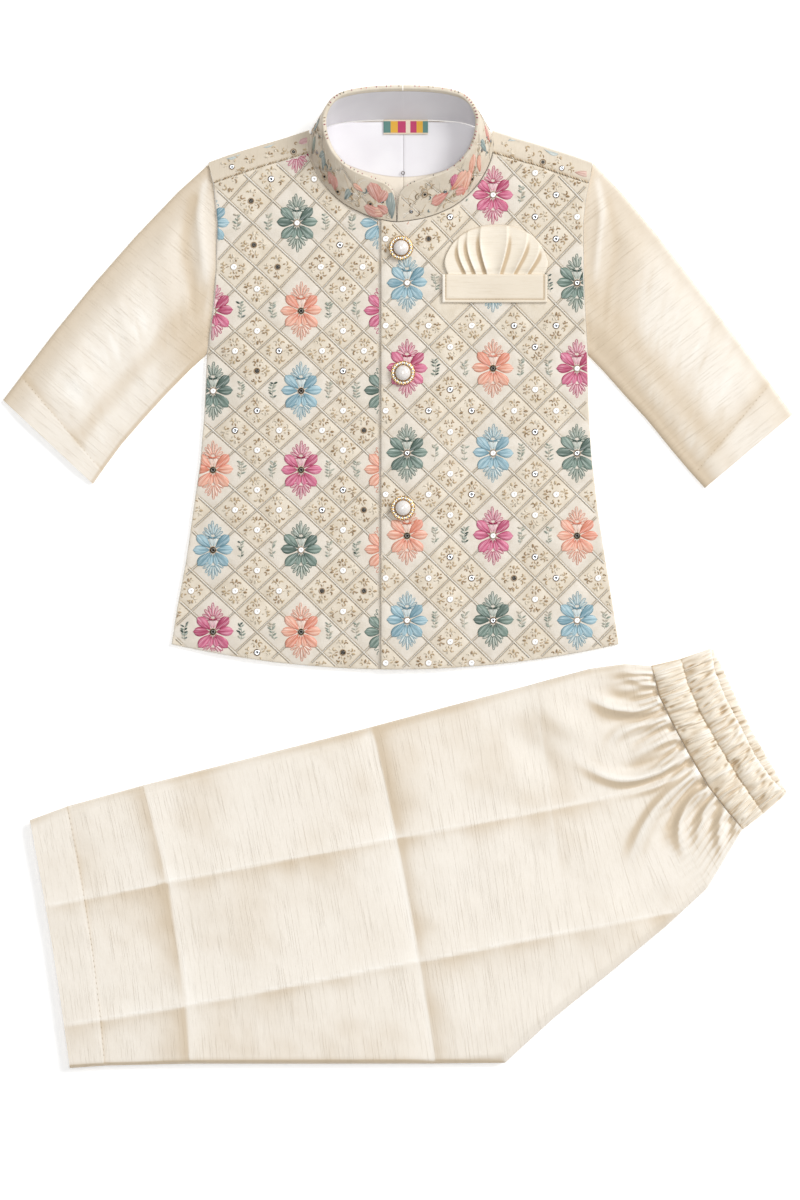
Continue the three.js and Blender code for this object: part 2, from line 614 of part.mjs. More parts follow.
function embroideredPanel(chart, topAt, plainBeyond, flowerAt, range) {
  const skin = new Skin();
  const raised = ([x, y], rise) => [x, y, topAt(x, y) + (plainBeyond(x) ? 0 : rise)];
  const under = ([x, y]) => [x, y, topAt(x, y) - bodyWall];
  const step = (from, to, length) => {
    const whole = Math.hypot(to[0] - from[0], to[1] - from[1]);
    return [mix(from[0], to[0], length / whole), mix(from[1], to[1], length / whole)];
  };
  const halfWay = (a, b) => [(a[0] + b[0]) / 2, (a[1] + b[1]) / 2];
  const inRange = (i, j) => i >= range.i[0] && i <= range.i[1] && j >= range.j[0] && j <= range.j[1];
  const isCell = (i, j) => inRange(i, j) && Math.abs(i + j) % 2 === 1;

  for (let i = range.i[0]; i <= range.i[1]; i += 1) {
    for (let j = range.j[0]; j <= range.j[1]; j += 1) {
      if (!isCell(i, j)) {
        continue;
      }
      const middle = trellisPlace(chart, i, j);
      // Rows run down the garment, so this order is anticlockwise seen from above
      const steps = [[1, 0], [0, -1], [-1, 0], [0, 1]];
      const corners = steps.map(([di, dj]) => ({ i: i + di, j: j + dj, at: trellisPlace(chart, i + di, j + dj) }));
      const edgeDistance = Math.hypot(corners[0].at[0] - middle[0], corners[1].at[1] - middle[1]) / 2;
      const inset = (p) => [
        mix(p[0], middle[0], cordHalfWidth / edgeDistance),
        mix(p[1], middle[1], cordHalfWidth / edgeDistance),
      ];
      const flowers = corners.map((corner) => flowerAt(corner.i, corner.j));
      const floor = [];
      for (let k = 0; k < 4; k += 1) {
        const here = corners[k];
        const next = corners[(k + 1) % 4];
        const from = flowers[k] ? step(here.at, next.at, petal.edgeTip) : here.at;
        const to = flowers[(k + 1) % 4] ? step(next.at, here.at, petal.edgeTip) : next.at;
        const low = inset(from);
        const high = inset(to);
        skin.quad(raised(from, cordRise), raised(to, cordRise), raised(high, 0), raised(low, 0));
        if (flowers[k]) {
          const before = corners[(k + 3) % 4].at;
          const acrossCell = corners[(k + 2) % 4].at;
          const upright = steps[k][0] === 0;
          const tip = step(here.at, acrossCell, upright ? petal.shortTip : petal.axisTip);
          const crest = step(here.at, acrossCell, upright ? petal.crest * 0.7 : petal.crest);
          const nextTip = step(here.at, next.at, petal.edgeTip);
          const beforeTip = step(here.at, before, petal.edgeTip);
          const nextNotch = step(here.at, halfWay(nextTip, tip), petal.notch);
          const beforeNotch = step(here.at, halfWay(beforeTip, tip), petal.notch);
          const heart = raised(here.at, petalRise);
          const fanOut = [
            raised(beforeTip, cordRise), raised(beforeNotch, 0.35), raised(tip, 0.3),
            raised(nextNotch, 0.35), raised(nextTip, cordRise),
          ];
          const ridges = {
            before: raised(step(here.at, before, petal.crest), petalRise),
            middle: raised(crest, petalRise),
            next: raised(step(here.at, next.at, petal.crest), petalRise),
          };
          skin.triangle(heart, fanOut[1], ridges.before);
          skin.triangle(ridges.before, fanOut[1], fanOut[0]);
          skin.triangle(heart, ridges.middle, fanOut[1]);
          skin.triangle(ridges.middle, fanOut[2], fanOut[1]);
          skin.triangle(heart, fanOut[3], ridges.middle);
          skin.triangle(ridges.middle, fanOut[3], fanOut[2]);
          skin.triangle(heart, ridges.next, fanOut[3]);
          skin.triangle(ridges.next, fanOut[4], fanOut[3]);
          floor.push(...fanOut);
        }
        floor.push(raised(low, 0));
        if (flowers[(k + 1) % 4]) {
          floor.push(raised(high, 0));
        }
      }
      skin.face(floor, plan);
      skin.face(corners.map((corner) => under(corner.at)), plan, true);
      for (let k = 0; k < 4; k += 1) {
        const [di, dj] = [steps[k][0] + steps[(k + 1) % 4][0], steps[k][1] + steps[(k + 1) % 4][1]];
        if (!inRange(i + di, j + dj)) {
          const [a, b] = [corners[k].at, corners[(k + 1) % 4].at];
          skin.quad(under(a), under(b), raised(b, cordRise), raised(a, cordRise));
        }
      }
    }
  }
  return toSolid(facingOut(skin.geometry()));
}

function frontOutline(side, inner) {
  const seam = shoulders.map((row) => [row[side], row.seam - seamGap - 0.1]);
  seam.at(-1)[0] = sideX(side, 284);
  seam.at(-1)[1] = 284 - 0.3;
  const edge = bodySides.slice(2).map((row) => [row[side], row.y]);
  const corner = bodySides.at(-1)[side];
  const hemPoints = hemLine(corner, inner, 9).slice(1);
  return [...seam, ...edge, ...hemPoints, [inner, 262]];
}

const flowerHidden = (x, y) => x > welt.left && x < welt.right && y > welt.bottom - 8 && y < welt.top + 8;

function frontPanel({ chart, side, inner, topAt, plainBeyond, range }) {
  const flowerAt = (i, j) => {
    const [x, y] = trellisPlace(chart, i, j);
    const shown = i % 4 === 0 && j % 4 === 0 && !flowerHidden(x, y);
    const clearOfRim = Math.abs(i - range.i[0]) > 1 && Math.abs(i - range.i[1]) > 1;
    return shown && clearOfRim && Math.abs(j - range.j[0]) > 1 && Math.abs(j - range.j[1]) > 1;
  };
  const cloth = embroideredPanel(chart, topAt, plainBeyond, flowerAt, range);
  const pattern = toSolid(facingOut(slab(frontOutline(side, inner), -2, 40)));
  return fromSolid(cloth.intersect(pattern).subtract(neckHole));
}

// Sleeves

function foldRise(side, x, y) {
  let rise = 0;
  for (const fold of sleeveFolds.filter((row) => row.side === side)) {
    const d = lineDistance(x, y, [[fold.fromX, fold.fromY], [fold.toX, fold.toY]]);
    rise += fold.rise * Math.exp(-((d / fold.width) ** 2));
  }
  return rise;
}

function sleeve(side) {
  const rows = sleeveRows[side];
  const stations = [-0.1, 0.03, 0.11, 0.2, 0.32, 0.45, 0.6, 0.75, 0.915, 0.93, 1];
  const topShares = [0, 0.03, 0.12, 0.25, 0.42, 0.58, 0.75, 0.88, 0.97, 1];
  const bottomShares = [0.985, 0.66, 0.33, 0.015];
  const place = (t, s) => {
    const x = mix(along(rows, 't', t, 'outX'), along(rows, 't', t, 'inX'), s);
    const y = mix(along(rows, 't', t, 'outY'), along(rows, 't', t, 'inY'), s);
    return [x, y];
  };
  const topZ = (t, s, x, y) => {
    const rise = smooth(s / sleeveTop.edgeReach) * smooth((1 - s) / sleeveTop.edgeReach);
    const hemmed = t > sleeveHem.start ? sleeveHem.step : 0;
    return mix(sleeveTop.edge, sleeveTop.middle, rise) + hemmed + foldRise(side, x, y) * rise;
  };
  const outer = [];
  const inner = [];
  for (const t of stations) {
    const outerLoop = [];
    const innerLoop = [];
    const width = Math.hypot(
      along(rows, 't', t, 'outX') - along(rows, 't', t, 'inX'),
      along(rows, 't', t, 'outY') - along(rows, 't', t, 'inY'),
    );
    const turn = (sleeveWall + 0.3) / width;
    for (const s of topShares) {
      const [x, y] = place(t, s);
      outerLoop.push([x, y, s === 0 || s === 1 ? sleeveTop.edge / 2 : topZ(t, s, x, y)]);
      const [ix, iy] = place(t, mix(turn, 1 - turn, s));
      const innerZ = s === 0 || s === 1 ? sleeveTop.edge / 2 : topZ(t, s, x, y) - sleeveWall;
      innerLoop.push([ix, iy, innerZ]);
    }
    for (const s of bottomShares) {
      outerLoop.push([...place(t, s), 0]);
      innerLoop.push([...place(t, mix(turn, 1 - turn, s)), sleeveWall]);
    }
    outer.push(outerLoop);
    inner.push(innerLoop);
  }
  const skin = new Skin();
  const count = outer[0].length;
  for (let k = 0; k < count; k += 1) {
    const n = (k + 1) % count;
    for (let i = 0; i + 1 < outer.length; i += 1) {
      skin.quad(outer[i][k], outer[i][n], outer[i + 1][n], outer[i + 1][k]);
      skin.quad(inner[i][n], inner[i][k], inner[i + 1][k], inner[i + 1][n]);
    }
    const end = outer.length - 1;
    skin.quad(outer[0][n], outer[0][k], inner[0][k], inner[0][n]);
    skin.quad(outer[end][k], outer[end][n], inner[end][n], inner[end][k]);
  }
  // The sleeve is built past the armhole and cut back to it
  return fromSolid(toSolid(facingOut(skin.geometry())).subtract(toSolid(facingOut(bodyBlock()))));
}

// Block over the body's plan, as wide as the armholes and their seam gap
function bodyBlock() {
  const rows = bodySides.filter((row) => row.y > 100);
  const left = rows.map((row) => [row.left - seamGap, row.y]);
  const right = rows.map((row) => [row.right + seamGap, row.y]).reverse();
  const top = 330;
  return slab([[rows[0].left - seamGap, top], ...left, ...right, [rows[0].right + seamGap, top]], -2, 40);
}

// Collar lining is above; these lie flat in the back neck

function neckLining(side) {
  const loop = neckLoop(-liningInset);
  const kept = loop.filter(([x, y]) => side * (x - liningSeamX) > 2 && y < 400);
  const seamX = liningSeamX + side * (seamGap / 2 + 0.05);
  const ys = kept.map(([, y]) => y);
  const lowY = Math.min(...ys);
  const highY = Math.max(...ys);
  const byHeight = kept.slice().sort((a, b) => a[1] - b[1]);
  return facingOut(slab([[seamX, lowY], ...byHeight, [seamX, highY]], bodyWall + seamGap, bodyWall + seamGap + liningWall));
}

function neckLabel() {
  const z = bodyWall + 2 * seamGap + liningWall;
  const geometry = new THREE.BoxGeometry(label.width, label.height, label.wall);
  geometry.translate(label.x, label.y, z + label.wall / 2);
  return geometry;
}

// Pocket

function pocketWelt() {
  const columns = 8;
  const rows = 5;
  const line = (k, drop) => Array.from({ length: rows }, (_, n) => {
    const x = mix(welt.left, welt.right, k / (columns - 1));
    const v = n / (rows - 1);
    const y = mix(welt.bottom, welt.top, v);
    const rounding = n === 0 || n === rows - 1 || k === 0 || k === columns - 1 ? 0.45 : 0;
    return [x, y, overTop(x, y) + welt.lift + welt.mouth * smooth(v) + (drop ? 0 : welt.wall - rounding)];
  });
  return layeredGrid(columns, (k) => line(k, false), (k) => line(k, true));
}

// Wall between a top grid and a bottom grid of the same points
function layeredGrid(count, topLine, bottomLine) {
  const skin = new Skin();
  const tops = Array.from({ length: count }, (_, k) => topLine(k));
  const bottoms = Array.from({ length: count }, (_, k) => bottomLine(k));
  for (let k = 0; k + 1 < count; k += 1) {
    skin.strip(tops[k + 1], tops[k]);
    skin.strip(bottoms[k], bottoms[k + 1]);
    skin.quad(bottoms[k][0], bottoms[k + 1][0], tops[k + 1][0], tops[k][0]);
    skin.quad(bottoms[k + 1].at(-1), bottoms[k].at(-1), tops[k].at(-1), tops[k + 1].at(-1));
  }
  skin.strip(tops[0], bottoms[0]);
  skin.strip(bottoms[count - 1], tops[count - 1]);
  return skin.geometry();
}

function pleatRise(x, v) {
  let rise = 0.5;
  for (const pleat of pleats) {
    const crease = mix(pleat.rootX, pleat.tipX, v);
    const away = x - crease;
    rise += pleat.rise * (away > 0 ? Math.exp(-away / 3.4) : Math.exp(away / 0.9)) * (1 - 0.45 * v);
  }
  return rise;
}

function pocketSquare() {
  const edgePlaces = [fan.left, fan.left + 4, 44];
  for (const pleat of pleats) {
    edgePlaces.push(pleat.rootX - 0.9, pleat.rootX + 0.4, pleat.rootX + 3.2);
  }
  edgePlaces.push(101, fan.right);
  const rows = 6;
  const columnAt = (k, drop) => Array.from({ length: rows + 1 }, (_, n) => {
    // The first row is the plain root inside the pocket, the next is at the welt's mouth
    const v = Math.max(0, (n - 1) / (rows - 1));
    const rootX = edgePlaces[k];
    const share = (rootX - fan.middleX) / ((fan.right - fan.left) / 2);
    const rimY = welt.top + (fan.apexY - welt.top) * Math.sqrt(Math.max(0, 1 - 0.93 * share * share));
    const y = n === 0 ? fan.rootY : mix(welt.top + 0.5, rimY, v);
    const lean = share * 9.5 * Math.sin(Math.PI * Math.min(1, v * 0.62)) * (1 - 0.75 * Math.abs(share));
    const x = rootX + lean;
    const bottom = overTop(x, y) + cordRise + seamGap;
    if (drop) {
      return [x, y, bottom];
    }
    const plain = smooth(v / 0.14);
    return [x, y, bottom + (n === 0 ? 1.0 : fan.wall + mix(0, pleatRise(rootX, 0), plain * (1 - 0.55 * v * v)))];
  });
  return layeredGrid(edgePlaces.length, (k) => columnAt(k, false), (k) => columnAt(k, true));
}

// Buttons

function turned(profile, segments, { x, y }) {
  const points = profile.map(([radius, height]) => new THREE.Vector2(radius, height));
  const geometry = new THREE.LatheGeometry(points, segments);
  geometry.rotateX(Math.PI / 2);
  geometry.translate(x, y, overTop(x, y) + buttonLift);
  geometry.deleteAttribute('normal');
  geometry.deleteAttribute('uv');
  return mergeVertices(geometry, 1e-4);
}

// Pajama legs

function legPlace(t, v) {
  const foldX = along(legRows, 't', t, 'foldX');
  const foldY = along(legRows, 't', t, 'foldY');
  const innerX = along(legRows, 't', t, 'innerX');
  const innerY = along(legRows, 't', t, 'innerY');
  // Towards the waist the stations bend to the curve of the seam
  const last = legRows.at(-1);
  const bend = smooth((t - 0.8) / 0.2);
  const seamX = along(bandRows, 't', v, 'seamX') - 0.87 * waistGap;
  const seamY = along(bandRows, 't', v, 'seamY') - 0.49 * waistGap;
  const bow = 4 * v * (1 - v) * along(legRows, 't', t, 'bow');
  const x = mix(foldX, innerX, v) + bow + bend * (seamX - mix(last.foldX, last.innerX, v));
  const y = mix(foldY, innerY, v) + bend * (seamY - mix(last.foldY, last.innerY, v));
  return [x, y];
}

function creaseDrop(x, y) {
  let keep = 1;
  for (const crease of creases) {
    const d = lineDistance(x, y, crease.path);
    keep *= 1 - crease.depth * 0.8 * Math.exp(-((d / crease.width) ** 2));
  }
  return Math.max(0, keep);
}

const hiddenTop = hiddenLayers * hiddenLayer + (hiddenLayers - 1) * layerGroove;

function upperLeg() {
  const columns = 2 * gathers.count;
  const top = [];
  const inside = hiddenTop + seamGap;
  for (const t of legStations) {
    const pull = smooth((t - (1 - gathers.reach)) / gathers.reach);
    const line = [];
    for (let j = 0; j <= columns; j += 1) {
      const v = j / columns;
      const [x, y] = legPlace(t, v);
      const edge = smooth(v / 0.05) * smooth((1 - v) / 0.05);
      const soft = pillow * creaseDrop(x, y) * (1 - pull);
      const uneven = 0.7 + 0.3 * Math.sin(2.3 * j + 0.6);
      const gather = j % 2 === 1 ? gathers.rise * pull ** 1.4 * uneven : 0.3 * pull;
      const hemmed = t < hemFold.end ? hemFold.step : 0;
      const rise = (soft + gather) * edge + hemmed;
      line.push([x, y, inside + legWall + waistRise * pull - 0.5 * (1 - edge) + rise]);
    }
    top.push(line);
  }
  return facingOut(flatBackedWall(top, inside));
}

function hiddenLegs() {
  const edge = [];
  const perSide = 8;
  const stops = legRows.map((row) => row.t);
  stops.forEach((t) => edge.push(legPlace(t, 0)));
  for (let k = 1; k < perSide; k += 1) {
    edge.push(legPlace(1, k / perSide));
  }
  stops.slice().reverse().forEach((t) => edge.push(legPlace(t, 1)));
  const middle = edge.reduce(([sx, sy], [x, y]) => [sx + x / edge.length, sy + y / edge.length], [0, 0]);
  const inwards = edge.map(([x, y], n) => {
    const before = edge[(n + edge.length - 1) % edge.length];
    const after = edge[(n + 1) % edge.length];
    const normal = new THREE.Vector2(after[1] - before[1], before[0] - after[0]).normalize();
    const toMiddle = new THREE.Vector2(middle[0] - x, middle[1] - y);
    return normal.dot(toMiddle) < 0 ? normal.negate() : normal;
  });
  const ring = (inset, z) => edge.map(([x, y], n) => {
    const deeper = hiddenInset + inset;
    return [x + inwards[n].x * deeper, y + inwards[n].y * deeper, z];
  });
  const rings = [];
  for (let n = 0; n < hiddenLayers; n += 1) {
    const low = n * (hiddenLayer + layerGroove);
    const shift = [0, 0.9, 0.3][n];
    rings.push(ring(shift + 0.4, low), ring(shift, low + hiddenLayer / 2), ring(shift + 0.4, low + hiddenLayer));
    if (n < hiddenLayers - 1) {
      rings.push(ring(2.6, low + hiddenLayer + layerGroove / 2));
    }
  }
  const skin = new Skin();
  const count = edge.length;
  for (let r = 0; r + 1 < rings.length; r += 1) {
    for (let n = 0; n < count; n += 1) {
      const next = (n + 1) % count;
      skin.quad(rings[r][n], rings[r][next], rings[r + 1][next], rings[r + 1][n]);
    }
  }
  const anticlockwise = THREE.ShapeUtils.area(edge.map(plan)) > 0;
  skin.face(rings.at(-1), plan, !anticlockwise);
  skin.face(rings[0], plan, anticlockwise);
  return facingOut(skin.geometry());
}

// Waistband

function waistband(near) {
  const outerColumns = near ? ['nearX', 'nearY'] : ['farX', 'farY'];
  const shares = near ? [0, 0.15, 0.34, 0.5, 0.66, 0.85, 1] : [0, 0.5, 0.66, 0.85, 1];
  const stations = band.ribs * 2;
  const endFall = (t) => 1 - smooth(t / band.endReach) * smooth((1 - t) / band.endReach);
  const bottomAt = (i) => (near ? band.nearBottom - band.endDrop * endFall(i / stations) : 0);
  const top = [];
  for (let i = 0; i <= stations; i += 1) {
    const t = i / stations;
    const column = (name) => along(bandRows, 't', t, name);
    const line = shares.map((share) => {
      const [fromX, fromY, toX, toY, s] = share <= 0.5
        ? [column('seamX'), column('seamY'), column('midX'), column('midY'), share * 2]
        : [column('midX'), column('midY'), column(outerColumns[0]), column(outerColumns[1]), share * 2 - 1];
      const channel = Math.sqrt(Math.sin(Math.PI * ((share * 2) % 1)) + 1e-9) * (share === 0.5 || share === 1 ? 0 : 1);
      const fall = 1 - 0.65 * endFall(t);
      const rib = (i % 2 === 1 ? band.rib : 0) * (0.75 + 0.25 * Math.sin(1.9 * i)) * (0.35 + 0.65 * channel);
      const rise = (band.puff * channel + rib) * fall;
      const wall = near ? band.wall : band.farTop - 1.2 * endFall(t);
      return [mix(fromX, toX, s), mix(fromY, toY, s), bottomAt(i) + wall + rise * (near ? 1 : 0.62)];
    });
    top.push(line);
  }
  return facingOut(plainBackedWall(top, bottomAt));
}

// The set, piece by piece

addPiece('back_panel', backPanel(), finishes.embroidered);
addPiece('front_panel_under', frontPanel({
  chart: trellis.under,
  side: 'left',
  inner: extensionX,
  topAt: frontTop,
  plainBeyond: (x) => x > placketX - 1.2,
  range: { i: [-4, 12], j: [-6, 23] },
}), finishes.embroidered);
addPiece('front_panel_over', frontPanel({
  chart: trellis.over,
  side: 'right',
  inner: placketX,
  topAt: overTop,
  plainBeyond: () => false,
  range: { i: [-4, 11], j: [-4, 24] },
}), finishes.embroidered);
addPiece('sleeve_left', sleeve('left'), finishes.silk);
addPiece('sleeve_right', sleeve('right'), finishes.silk);
addPiece('collar_left', collarOuter(-1), finishes.embroidered);
addPiece('collar_right', collarOuter(1), finishes.embroidered);
addPiece('collar_lining', collarInner(), finishes.lining);
addPiece('neck_lining_left', neckLining(-1), finishes.lining);
addPiece('neck_lining_right', neckLining(1), finishes.lining);
addPiece('neck_label', neckLabel(), finishes.label);
addPiece('pocket_welt', pocketWelt(), finishes.silk);
addPiece('pocket_square', pocketSquare(), finishes.silk);
buttons.forEach((place, n) => {
  addPiece(`button_rim_${n + 1}`, turned(rimProfile, 18, place), finishes.gilt);
  addPiece(`button_pearl_${n + 1}`, turned(pearlProfile, 14, place), finishes.pearl);
});
addPiece('leg_upper', upperLeg(), finishes.silk);
addPiece('leg_hidden_layers', hiddenLegs(), finishes.silk);
addPiece('waistband_near', waistband(true), finishes.silk);
addPiece('waistband_far', waistband(false), finishes.silk);

export default kurtaSet;
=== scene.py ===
import math

import bmesh
import bpy
import numpy as np
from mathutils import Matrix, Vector
from mathutils.geometry import delaunay_2d_cdt


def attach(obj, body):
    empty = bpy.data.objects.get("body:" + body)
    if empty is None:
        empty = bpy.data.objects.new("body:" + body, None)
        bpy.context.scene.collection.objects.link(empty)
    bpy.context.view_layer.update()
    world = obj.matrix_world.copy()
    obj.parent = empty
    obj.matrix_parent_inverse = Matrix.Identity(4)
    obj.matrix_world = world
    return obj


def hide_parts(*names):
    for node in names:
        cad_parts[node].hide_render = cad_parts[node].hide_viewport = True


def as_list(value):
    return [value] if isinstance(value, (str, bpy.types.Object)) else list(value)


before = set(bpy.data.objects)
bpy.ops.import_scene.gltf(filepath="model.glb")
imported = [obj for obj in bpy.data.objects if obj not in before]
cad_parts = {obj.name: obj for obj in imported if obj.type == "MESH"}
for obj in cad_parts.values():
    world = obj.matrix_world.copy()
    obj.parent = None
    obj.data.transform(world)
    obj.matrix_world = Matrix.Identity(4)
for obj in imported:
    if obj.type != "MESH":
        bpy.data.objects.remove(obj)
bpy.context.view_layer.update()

# Kurta set for a 12 to 24 month old, laid flat. Sizes are in millimetres, in the frame of the solids:
# x across, y up the garment, z up from the surface it lies on.
MM = 0.001


def table(names, *rows):
    """Named columns from rows of numbers."""
    return dict(zip(names.split(), np.array(rows, float).T))


# Way to the light in plan
light_way = (0.83, 0.55)

# Cloth, air between layers, and the heights of what is stitched on
seam_gap = 0.3
body_wall = 1.6
sleeve_wall = 1.3
lining_wall = 1.2
leg_wall = 1.6
front_air = 2.6
underarm_y = 160

body_sides = table(
    "y left right",
    (297.5, -136.5, 140), (284, -132.8, 137.2), (272, -131.8, 135), (255, -130.3, 133.2),
    (221, -131, 133.6), (192, -133.2, 134.6), (160, -137.5, 136.5), (116, -139.5, 137.5),
    (82, -142.5, 140), (47, -147.5, 144), (12, -152.5, 149.5), (-22, -159, 155), (-48, -163, 159),
)
hem = {"middle": -2, "half": 161, "low": -66.2, "rise": 18.2}

# Shoulder: the fold at the top and the seam in front of it, from the collar outwards
shoulders = table(
    "left right fold seam",
    (-56, 60, 325, 309), (-66, 70, 321.6, 305.6), (-80, 84, 317, 301.3), (-96, 100, 312.3, 296.8),
    (-113, 116, 307.2, 291.2), (-125, 128, 303.3, 287), (-132.9, 137.3, 299, 284.3),
)
shoulder_flare = {"left": -3.5, "right": 2.7}
wrap_fold_reach = 1.7
wrap_fold_half = 1.95
wrap_seam_top = 6.0

placket_x = -12.3
extension_x = 16
placket_lift = 2.3

# Trellis of couched cords: places of the flower columns and rows, four crossings apart
trellis = {
    "under": {
        "lean": (-2.8, 205, 48),
        "columns": table("n at", (0, -133.2), (4, -69.8), (8, -9.5)),
        "rows": table("n at", (0, 255.2), (4, 191.9), (8, 134.3), (12, 77.4), (16, 19.8), (20, -39.2)),
    },
    "over": {
        "columns": table("n at", (0, 6.5), (4, 68.4), (8, 128.9)),
        "rows": table("n at", (0, 275.4), (4, 212), (8, 150.5), (12, 89.5), (16, 30), (20, -31)),
        "bare": ((8, 0),),
    },
    "collar": {"columns": table("n at", (0, 0), (4, 62.6)), "rows": table("n at", (0, 14), (4, -45))},
    "back": {"columns": table("n at", (0, -2), (4, 60.6)), "rows": table("n at", (0, 330), (4, 271))},
}
cell_width = 21.5
cell_shares = (0, 0.06, 0.12, 0.22, 0.36, 0.5, 0.64, 0.78, 0.88, 0.94)

# Colour of each flower, a line for each row down the panel, the first row at n = -4 on the left panel
flower_rows = {
    "under": (-1, (
        "none none none", "blue green blue", "pink peach pink", "green blue green",
        "peach pink peach", "blue green peach", "pink peach green",
    )),
    "over": (0, (
        "peach pink none", "blue blue green", "pink peach pink",
        "green blue green", "peach pink peach", "blue green blue",
    )),
}

collar_rows = table(
    "mid out y z top_out top_y top_z",
    (-0.8, 0.5, 256.2, 8.8, 0.7, 267, 12.6), (-0.8, 4, 256.6, 8.8, 2.4, 275.8, 16),
    (0, 9.5, 257.4, 8.8, 8, 281.8, 18.4), (1, 19, 259.4, 8.6, 18, 286, 20),
    (2, 30, 263.6, 8.3, 31, 290.5, 21.8), (2, 41, 269.6, 7.9, 40.5, 296, 24),
    (2, 51, 278.4, 7.3, 48, 303.5, 26.4), (2, 59, 289, 6.9, 53, 312.5, 28.6),
    (2, 64.5, 301, 6.6, 55.7, 322, 30), (2, 66.5, 312, 6.2, 56, 331.5, 30.5),
    (2, 64, 321.6, 5.4, 52.5, 340.5, 30.2), (2, 55, 327.2, 3.0, 46, 347, 29.4),
    (2.5, 42.5, 330.6, 1.2, 36, 350.6, 28.5), (3, 27, 332, 0.6, 23, 352.6, 27.8),
    (3.5, 11, 332.4, 0.4, 10, 353.4, 27.5), (3.5, 0.25, 332.4, 0.4, 0.25, 353.5, 27.5),
)
collar = {"wall": 1.6, "roll_depth": 3, "roll_rise": 0.8, "gap": 0.5}
neck_middle = np.array([2, 298])
lining_seam_x = 4
label = {"width": 32, "height": 10.6, "wall": 1.0, "x": 5.6, "y": 324.4}

sleeve_rows = {
    "left": table(
        "t out_x out_y in_x in_y",
        (0, -136.8, 297.2, -137.9, 160.5), (0.16, -158, 278, -149.8, 149.5),
        (0.36, -188.6, 246, -166, 133), (0.56, -218.9, 211.5, -182, 115.5),
        (0.76, -247, 177, -199, 96), (0.9, -268, 149.5, -211.5, 79), (1, -284.4, 127.8, -219.6, 67.3),
    ),
    "right": table(
        "t out_x out_y in_x in_y",
        (0, 140.4, 298.6, 136.9, 160), (0.16, 160, 278.5, 148, 148.5),
        (0.36, 187.4, 246, 163.5, 131), (0.56, 214, 211.5, 179.5, 113.5),
        (0.76, 240.5, 177, 196.5, 92.5), (0.9, 264, 145.5, 210.5, 76), (1, 284.4, 117.7, 221, 64.4),
    ),
}

welt = {"left": 31.8, "right": 107.6, "top": 218.2, "bottom": 197.8, "wall": 1.6, "lift": 0.95, "mouth": 1.4}
fan = {"left": 35.6, "right": 105.6, "root_y": 212, "middle_x": 70.6, "apex_y": 254, "wall": 1.2}
pleats = table(
    "root_x tip_x rise",
    (49, 47, 2.0), (56, 53, 2.4), (64, 61.5, 2.7), (73, 77, 2.7), (83, 90, 2.4), (93, 98.5, 2.0),
)

buttons = ((2.2, 237.2), (3.6, 147.2), (3.6, 50))
button_lift = 1.4

leg_rows = table(
    "t fold_x fold_y inner_x inner_y bow",
    (0, -265, -174.6, -236.2, -353.2, 1.5), (0.06, -238, -164.6, -211, -351.4, 3),
    (0.19, -182.2, -149.2, -149, -350, 5), (0.38, -100, -128.2, -62, -350, 3.5),
    (0.56, -19.4, -107.6, 26, -349.9, 2.4), (0.67, 39.6, -91.8, 77, -349.4, 1.5),
    (0.76, 80, -81.2, 113, -316.4, 0.5), (0.84, 110, -73.2, 151, -285.8, 0),
    (0.91, 138, -66.6, 193, -250.6, 0), (0.96, 163, -63.8, 222, -223.5, 0),
    (1, 181.6, -65.6, 247, -181.4, 0),
)
hidden_top = 4.6
# Pinched places along the waist seam
waist_notches = (
    (183.4, -73.1), (185.6, -83), (190.2, -93.7), (196.8, -109.2), (202.9, -121.4),
    (208.5, -133.6), (219.3, -149.2), (229.3, -162.6), (237, -174.8), (243.5, -184),
)
hem_fold = {"end": 0.06, "step": 0.35}
# Pressed creases: depth, width, shaded side (1 is left of the way they run), whether raised, and the line
creases = (
    (1.1, 4.5, -1, True, ((-182, -149), (-165.6, -218), (-152.6, -302), (-149, -350))),
    (1.3, 5, 1, False, ((-19.4, -109), (-2.2, -186), (14.4, -276), (26, -350))),
    (0.2, 6, 1, False, ((99.4, -79.6), (110, -166), (121, -250))),
    (0.9, 4.5, -1, True, ((-253, -236.5), (-165.6, -219), (-2.2, -187.6), (147, -158.8), (202, -140.8))),
    (1.0, 4.5, -1, True, ((-239, -322), (-152.6, -307.8), (14.4, -276), (117, -256), (206, -239))),
)
band_rows = table(
    "t seam_x seam_y mid_x mid_y near_x near_y far_x far_y",
    (0, 182.4, -63.6, 203.5, -58.5, 225.2, -51, 227, -52),
    (0.17, 187.8, -84.6, 208.5, -77, 228, -67.5, 235.5, -69.5),
    (0.34, 197, -104, 217.5, -97.5, 236, -87.5, 244.5, -89.5),
    (0.52, 210, -128, 229, -118, 246.5, -107.5, 254, -109),
    (0.7, 223.8, -151, 241.5, -138.5, 257, -128.5, 265, -128.5),
    (0.86, 237.8, -169, 253, -156, 269.5, -146, 274.5, -145),
    (1, 248.2, -181.2, 263, -170, 279.4, -155.6, 279.6, -154.6),
)
band = {"ribs": 30, "rib": 1.0, "puff": 2.2, "wall": 2.4, "near_bottom": 5.6, "far_top": 2.8}


# Small tools

def smooth(t):
    t = np.clip(t, 0, 1)
    return t * t * (3 - 2 * t)


def mix(a, b, t):
    return a + (b - a) * t


def bell(away, width):
    """1 in the middle, and next to nothing from twice the width away."""
    return np.exp(-(away / width) ** 2)


